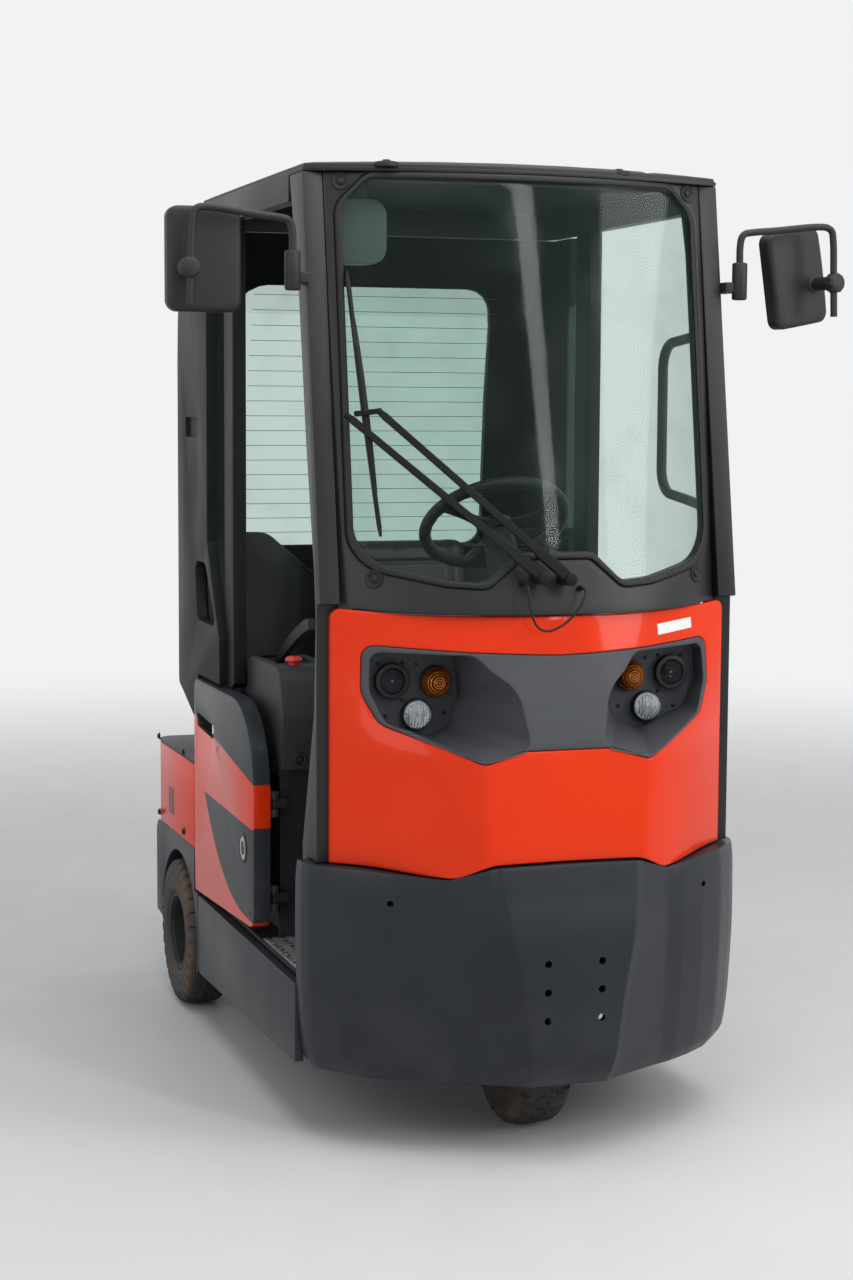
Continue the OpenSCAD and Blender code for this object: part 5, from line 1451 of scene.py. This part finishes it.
# Tow coupling: flame-cut steel plates stacked as steps, with a drop-in pin. The paint is
# worn to bare metal where drawbar eyes rub.
def coupling_vary(place):
    """Dark paint, rubbed to metal in patches, with rust in its hollows."""
    broad = place.noise(70.0, 5.0)
    rub = place.noise(12.0, 4.0).ease(0.54, 0.70)
    rust = place.noise(33.0, 6.0, 0.7).ease(0.62, 0.74)
    return {"Base Color": rust.mix(rub.mix((0.024, 0.025, 0.028), (0.15, 0.145, 0.14)),
                                   (0.060, 0.030, 0.017)),
            "Metallic": rub * 0.7,
            "Roughness": broad * 0.2 + rub * 0.05 + rust * 0.3 + 0.34,
            "relief": (broad - rust * 0.6, 0.0003)}


welded("tow_coupling_steps", "tow_coupling", surface("worn coupling steel", coupling_vary),
       "frame_steel", 0.002)


# Mirrors: moulded black housings with softly crowned backs on bent steel arms. Clamps
# hold the arms to the pillars, a knurled knob locks each housing, and silvered glass is set in.
mirror_black = rubbery("mirror moulding", (0.016, 0.016, 0.018), (0.075, 0.075, 0.075), 900.0, 0.5)
silvered = surface("silvered glass", lambda place: {
    "Base Color": place.noise(14.0, 4.0).tones((0.80, 0.82, 0.83), (0.88, 0.89, 0.90)),
    "Roughness": place.noise(26.0, 5.0).ease(0.5, 0.8, 0.015, 0.12)}, Metallic=1.0)
plate_x, plate_z, plate_half_x, plate_half_z = -0.041, 0.020, 0.078, 0.108
plate = anticlockwise(arcs([(plate_x + a * plate_half_x, plate_z + b * plate_half_z, 0.024)
                            for a, b in ((-1, -1), (1, -1), (1, 1), (-1, 1))]))
pillar_x, pillar_y = 0.512, -0.568


def crown_over(x, z):
    """How far the housing's back falls away from its crown."""
    u, v = (x - plate_x) / plate_half_x, (z - plate_z) / plate_half_z
    return 0.0085 * (u * u * 0.6 + v * v * 0.4) ** 1.6


def knurled(x, y, z):
    """Ten soft ridges round the knob's grip, kept inside its solid."""
    swell = 1.0
    if math.hypot(x, z) > 0.018 and -0.012 < y < 0.0125:
        swell = 1 + 0.035 * math.cos(10 * math.atan2(z, x))
    x, z = (min(max(c * swell, -0.0219), 0.0219) for c in (x, z))
    return x, y, z


for side, s, turn, lean_by, back, knob_x in (
    ("left", 1, 15, 10, 0.084, 0.7403),
    ("right", -1, 0, 0, 0.054, 0.7330),
):
    flip = Matrix.Diagonal((s, 1, 1, 1))
    swing = Matrix.Rotation(math.radians(turn), 4, "Z") @ Matrix.Rotation(math.radians(-lean_by), 4,
                                                                          "Y")
    seat_at = flip @ Matrix.Translation((knob_x, -0.582, 1.850)) @ swing
    arm = curved([(pillar_x, pillar_y, 1.875), (pillar_x, pillar_y, 1.925), (0.519, -0.5685, 1.950),
                  (0.542, -0.570, 1.9570), (0.600, -0.5735, 1.9625),
                  (knob_x - 0.050, -0.580, 1.9725),
                  (knob_x - 0.014, -0.5818, 1.968), (knob_x - 0.0055, -0.582, 1.940),
                  (knob_x - 0.003, -0.582, 1.870), (knob_x, -0.582, 1.775)])
    clamp = [(pillar_x, pillar_y, z) for z in (1.808, 1.8095, 1.812, 1.886, 1.8885, 1.890)]
    clamp_radii = [0.013, 0.0155, 0.0168, 0.0168, 0.0155, 0.013]
    knob = placed(spun(
        [(0.0006, 0.0145), (0.0140, 0.0142), (0.0190, 0.0125), (0.0215, 0.0090), (0.0218, 0.0),
         (0.0216, -0.010),
         (0.0175, -0.0125), (0.0150, -0.016), (0.0150, 0.024 - back), (0.0205, 0.021 - back),
         (0.0205, 0.016 - back),
         (0.0006, 0.016 - back)], sides=60), knurled)

    def on_arm(form):
        return placed(form, lambda *p: seat_at @ Vector(p))

    bracket = placed(block((0.4762, -0.574, 1.8232), (0.506, -0.508, 1.8468), 0.003),
                     lambda *p: flip @ Vector(p))
    case = shell(plate, [], 0.009, lambda x, z: back - 0.0197 + crown_over(x, z),
                 lambda x, z: back + 0.0190, 0.0095)
    parts = [tube([flip @ Vector(p) for p in arm], 0.0078, 16),
             tube([flip @ Vector(p) for p in clamp], clamp_radii, 28), bracket, on_arm(knob),
             on_arm(case)]
    piece("mirror_" + side + "_housing", joined(parts), mirror_black, "black_moulding",
          ("mirrors",), 38)
    pane = shell(inset(plate, 0.007), [], 0.012,
                 lambda x, z: back + 0.0199 - 0.0004 * (((x - plate_x) / 0.07) ** 2),
                 lambda x, z: back + 0.0186, 0.0004)
    piece("mirror_" + side + "_glass", on_arm(pane), silvered, "window_glass", sharp=50)


# Wiper: two pressed steel arms on splined pivots, joined by a link behind one long blade
# whose rubber lip follows the glass; small nozzles feed it from the washer hose.
def off_screen(x, z, d):
    """A point in front of the windscreen, by d."""
    return Vector((x, screen_y(x, z) - d, z))


def along_blade(first, last, count, stand_off):
    """Points down the blade's line, which bends at the upper arm's hub; stand_off(t) is each one's
    distance from the glass."""
    bend = 0.5273
    line = []
    for t in (k / (count - 1) for k in range(count)):
        u = first + (last - first) * t
        x = -0.396 + 0.020 * min(u / bend, 1.0) + 0.022 * max(0.0, (u - bend) / (1 - bend))
        line.append(off_screen(x, 1.850 - 0.550 * u, stand_off(t)))
    return line


def hump(t):
    """0 at both ends of a stretch and 1 in its middle."""
    return math.sin(math.pi * t)


pivot_y, joint_off = -0.848, 0.026
arm_places = (0, 0.03, 0.10, 0.16, 0.18, 0.30, 0.45, 0.60, 0.75, 0.90, 0.97, 1.0)
arm_wide = [0.018, 0.0245, 0.0250, 0.0240, 0.0175, 0.0170, 0.0160, 0.0155, 0.0150, 0.0150, 0.0160,
            0.0120]
arm_thick = [0.010, 0.0140, 0.0140, 0.0120, 0.0080, 0.0075, 0.0070, 0.0070, 0.0066, 0.0066, 0.0080,
             0.0060]
joint_cap = mm((0.6, 6.8), (4, 6.6), (6.2, 5.2), (6.6, 0), (6.2, -6), (0.6, -6.4))
nozzle = mm((5.8, 0), (5.8, 8.5), (5, 10), (4.2, 15), (3.4, 16.8), (0.6, 16.9))
parts = []
for (px, pz), (jx, jz) in (((-0.050, 1.219), (-0.410, 1.548)), ((0.009, 1.215), (-0.352, 1.559))):
    reach = screen_y(px, pz) + 0.0031 - pivot_y
    pivot = [(0.0006, 0.0), (0.009, -0.0002), (0.0125, -0.0015), (0.0138, -0.004), (0.0138, -0.012),
             (0.0118, -0.0135), (0.0118, -0.020), (0.0138, -0.022), (0.0138, -reach)]
    foot, tip = Vector((px, -0.839, pz)), off_screen(jx, jz, joint_off)
    a, b = foot.lerp(tip, 0.06), foot.lerp(tip, 0.155)
    run = (b - a).normalized()
    across_spring = run.cross((0, 1, 0)).normalized()
    over_spring = across_spring.cross(run)
    turns, spring_radius = 9, 0.0046
    spring = [a.lerp(b, t) + (across_spring * math.cos(2 * math.pi * turns * t)
                              + over_spring * math.sin(2 * math.pi * turns * t)) * spring_radius
              for t in (k / 90 for k in range(91))]
    parts += [spun(pivot, (px, pivot_y, pz), 32), strap([foot.lerp(tip, t) for t in arm_places],
                                                        arm_wide, arm_thick),
              tube(spring, 0.0009, 6), spun(joint_cap, tip, 20)]
bar_a, bar_b = off_screen(-0.398, 1.553, joint_off), off_screen(-0.346, 1.560, joint_off)
parts += [
    strap([bar_a.lerp(bar_b, t) for t in (0, 0.04, 0.2, 0.5, 0.8, 0.96, 1)],
          [0.008, 0.0125, 0.0110, 0.0120, 0.0110, 0.0125, 0.008], 0.0075),
    spun(mm((7.8, 0), (7.8, 18), (7, 21.5), (4.5, 23.2), (0.6, 23.6)),
         off_screen(-0.376, 1.5567, 0.006), 28),
    strap(along_blade(0, 1, 31, lambda t: 0.0056), [0.0055] + [0.0100] * 29 + [0.0055],
          [0.003] + [0.0045] * 29 + [0.003]),
    strap(along_blade(0.18, 0.84, 25, lambda t: 0.0072 + 0.0125 * hump(t) ** 0.8),
          [0.0105 + 0.004 * hump(k / 24) for k in range(25)], 0.0045)]
parts += [strap(along_blade(a, b, 15, lambda t: 0.0060 + 0.0052 * hump(t)), 0.0066, 0.0026)
          for a, b in ((0.03, 0.33), (0.69, 0.97))]
parts.append(strap(along_blade(0, 1, 31, lambda t: 0.0018), 0.0020, 0.0058))
parts += [spun(nozzle, off_screen(x, z, -0.005), 20) for x, z in hose_glands]
piece("wiper_arms_and_blade", joined(parts), satin("wiper black", (0.006, 0.006, 0.007),
                                                   (0.009, 0.009, 0.010), 0.40),
      "black_moulding", ("wiper",), 38)


# Grab handle: one bent steel bar, coated black, behind the left pillar. Its two ends
# are welded to the pillar's inner face.
handle_x, handle_bend = 0.455, 0.060
handle_line = [(-0.4916, 1.733), (-0.380, 1.7229)]
for cy, cz, start, end in ((-0.350, 1.660, 84.0, 0.0), (-0.350, 1.430, 0.0, -82.8)):
    for a in (math.radians(start + (end - start) * k / 12) for k in range(13)):
        handle_line.append((cy + handle_bend * math.cos(a), cz + handle_bend * math.sin(a)))
handle_line += [(-0.430, 1.3615), (-0.570, 1.344)]
piece("grab_handle_bar", tube([(handle_x, y, z) for y, z in handle_line], 0.0118, 22),
      rubbery("handle coating", (0.012, 0.012, 0.013), (0.09, 0.085, 0.08), 1500.0, 0.42),
      "black_paint",
      ("grab_handle",))


# Wheels: solid industrial tyres with block lugs at their shoulders, brown with floor
# dust, on deep-dished dark rims with five nuts; the front one stands in a forged fork.
def turned(profile, centre, sign, around, shape=None):
    """A form turned about the wheel's axle: profile is (radius, outward place)."""
    points = []
    for a in (2 * math.pi * k / around for k in range(around)):
        for r, x in profile:
            if shape:
                r, x = shape(r, x, a)
            points.append((centre[0] + sign * x, centre[1] + r * math.cos(a),
                           centre[2] + r * math.sin(a)))
    return points, skin(around, len(profile), looped=True)


half_tread = mm((101.9, 30), (101.9, 45.5), (104.5, 50), (109, 52.8), (113.5, 53.6), (115, 55),
                (118, 55.2), (120, 54), (130, 56), (142, 56.9), (144, 56.2), (146, 56.9),
                (156, 56.8), (164, 56.2), (169, 55.5), (173.5, 54.5), (177.5, 53), (181.2, 50.5),
                (184.5, 47), (187, 42.5), (188.8, 37), (189.9, 31), (190.4, 25), (190.5, 19),
                (190.5, 14), (190.5, 9.5), (190.5, 5))
tread = half_tread + [(r, -x) for r, x in reversed(half_tread)]
lugs = 30


def lugged(r, x, a):
    """Grooves between the lugs, staggered from side to side, and a zigzag one in the middle."""
    turn = a * lugs / (2 * math.pi)
    gap = abs(((turn + (0.5 if x > 0 else 0.0) + 2.2 * abs(x)) % 1.0) - 0.5) * 2
    high = between((r - 0.1600) / 0.0100)
    depth = 0.0085 * between((0.40 - gap) / 0.10) * high * between((abs(x) - 0.012) / 0.004)
    zigzag = 0.0035 * (abs((turn % 1.0) * 2 - 1) * 2 - 1)
    middle = between((0.0045 - abs(x - zigzag)) / 0.0025) * high
    pinch = math.copysign(1, x) * depth * 0.45 if r < 0.189 else 0
    return r - depth * min(1.0, (r - 0.150) / 0.035) - 0.006 * middle, x - pinch


def tyre_vary(centre):
    """Dark rubber, browner with dust in its grooves and low on its walls."""

    def vary(place):
        _, y, z = (place - centre).axes()
        out = (y * y + z * z) ** 0.5
        broad, speck = place.noise(7.0, 5.0), place.noise(120.0, 4.0, 0.7)
        hollow = out.ease(0.174, 0.188, 1.0, 0.0) * out.ease(0.150, 0.166)
        low_wall = out.ease(0.160, 0.110, 0.15, 0.55)
        dust = (broad.ease(0.35, 0.7) * (low_wall + hollow * 0.9)
                + speck.ease(0.5, 0.75) * 0.25).least(0.85)
        worn = dust * (1.0 - out.ease(0.184, 0.190) * 0.4)
        return {"Base Color": worn.mix((0.014, 0.013, 0.0125), (0.118, 0.072, 0.044)),
                "Roughness": dust * 0.15 + broad * 0.1 + 0.62,
                "relief": (speck + (out * 900.0).sine() * 0.25, 0.0004)}

    return vary


rim_black = satin("rim paint", (0.014, 0.0145, 0.016), (0.022, 0.022, 0.023), 0.48)
dish = mm((25.4, -30), (69, -30), (70.5, -29.4), (83.5, -20.5), (86.2, -22.5), (87.8, -48),
          (89.5, -49.8), (100, -49.9), (101.3, -48.8), (101.4, 48.8), (100, 49.9), (93, 49.9),
          (91.7, 48.8), (90.5, 43), (88, 39.5), (86.2, 10), (84.5, -4.5), (83, -6.5), (71, -15.2),
          (68.5, -16), (47.5, -16), (45.2, -14.8), (42.5, 2.2), (41, 3.8), (25.4, 3.9))
bolt_ring = 0.058


def nuts_for(centre, sign):
    def build(node, count, size):
        """Hexagon nuts on their studs and washers, evenly round the hub."""
        def disc(sides, radius, depth, lift):
            made = node("MeshCylinder", {"Vertices": sides, "Radius": radius, "Depth": depth})
            return node("Transform", {"Geometry": made, "Translation": (0.0, 0.0, lift)})

        ring = node("MeshCircle", {"Vertices": count, "Radius": bolt_ring})
        whole = node("JoinGeometry", {0: [disc(6, size, 0.011, 0.0070),
                                          disc(16, 0.0048, 0.020, 0.0080),
                                          disc(24, 0.0120, 0.0022, 0.0)]})
        copies = node("InstanceOnPoints", {"Points": ring, "Instance": whole})
        faced = node("Transform", {"Geometry": copies, "Rotation": (0.0, sign * math.pi / 2, 0.0)})
        return node("Transform", {"Geometry": faced, "Translation": (
            centre[0] - sign * 0.0148, centre[1], centre[2])})

    return build


for name, centre, sign, node_end, body in (
    ("front", (0.0, -0.600, 0.1905), 1, "", "front_wheel"),
    ("rear_right", (-0.459, 0.620, 0.1905), -1, "_right", "rear_wheel_right"),
    ("rear_left", (0.459, 0.620, 0.1905), 1, "_left", "rear_wheel_left"),
):
    axle_end = name.split("_")[0]
    rubber = surface("tyre rubber " + name.replace("_", " "), tyre_vary(centre))
    piece(name + "_tyre_lugged", turned(tread, centre, sign, 300, lugged), rubber, "tyre_rubber",
          (axle_end + "_tyre" + node_end,), 38, body)
    piece(name + "_rim_dish", turned(dish, centre, sign, 96), rim_black, "rim_paint",
          (axle_end + "_rim" + node_end,), 30, body)
    repeats(name + "_wheel_nuts", 5, 0.0085, zinc, "rim_paint", nuts_for(centre, sign), body)
welded("steer_fork_forging", "steer_fork", chassis_paint, "frame_steel", 0.003, body="fork")
welded("rear_axle_beam", "rear_axle", chassis_paint, "frame_steel", 0.003, 34)
hub_cap = mm((0.2, 0), (0.2, 12.8), (12, 12.5), (20, 10.8), (23.6, 7.5), (24.3, 0))
piece("rear_hub_caps", joined(turned(hub_cap, (s * 0.4652, 0.620, 0.1905), s, 40) for s in (-1, 1)),
      zinc,
      "frame_steel")


# Trim up high: the grey unit under the roof with a parting line round its face, two low
# round bosses on the roof's front edge, and a blank white paper label on the cover.
welded("roof_unit_case", "roof_housing",
       rubbery("grey case moulding", (0.16, 0.165, 0.17), (0.27, 0.27, 0.27), 1200.0, 0.42),
       "dark_moulding", 0.006)
boss = spun(mm((26, -4), (26, 3.5), (24.5, 5.8), (20, 7), (13.5, 7.4), (12.5, 6), (9.5, 6),
               (9, 9.8), (7, 11.2), (0.6, 11.6)), sides=40)
piece("roof_bosses", joined(placed(boss, lambda x, y, z: (at + x, -0.556 + z, 2.0738 - y))
                            for at in (-0.305, 0.224)),
      seal_black, "black_moulding")
label_loop = anticlockwise(arcs(mm((247, 1086, 1), (348, 1095, 1), (346, 1118, 1), (246, 1109, 1)),
                                0.002))
paper = surface("blank paper label", lambda place: {
    "Base Color": place.noise(300.0, 4.0).tones((0.74, 0.74, 0.72), (0.84, 0.84, 0.83)),
    "Roughness": place.noise(500.0).spread(0.5, 0.7)})
piece("blank_label", shell(label_loop, [], 0.006, lambda x, z: under_seam(x, z) - 0.0004,
                           lambda x, z: under_seam(x, z) + 0.0006, 0.0001), paper, "orange_paint",
      sharp=50)
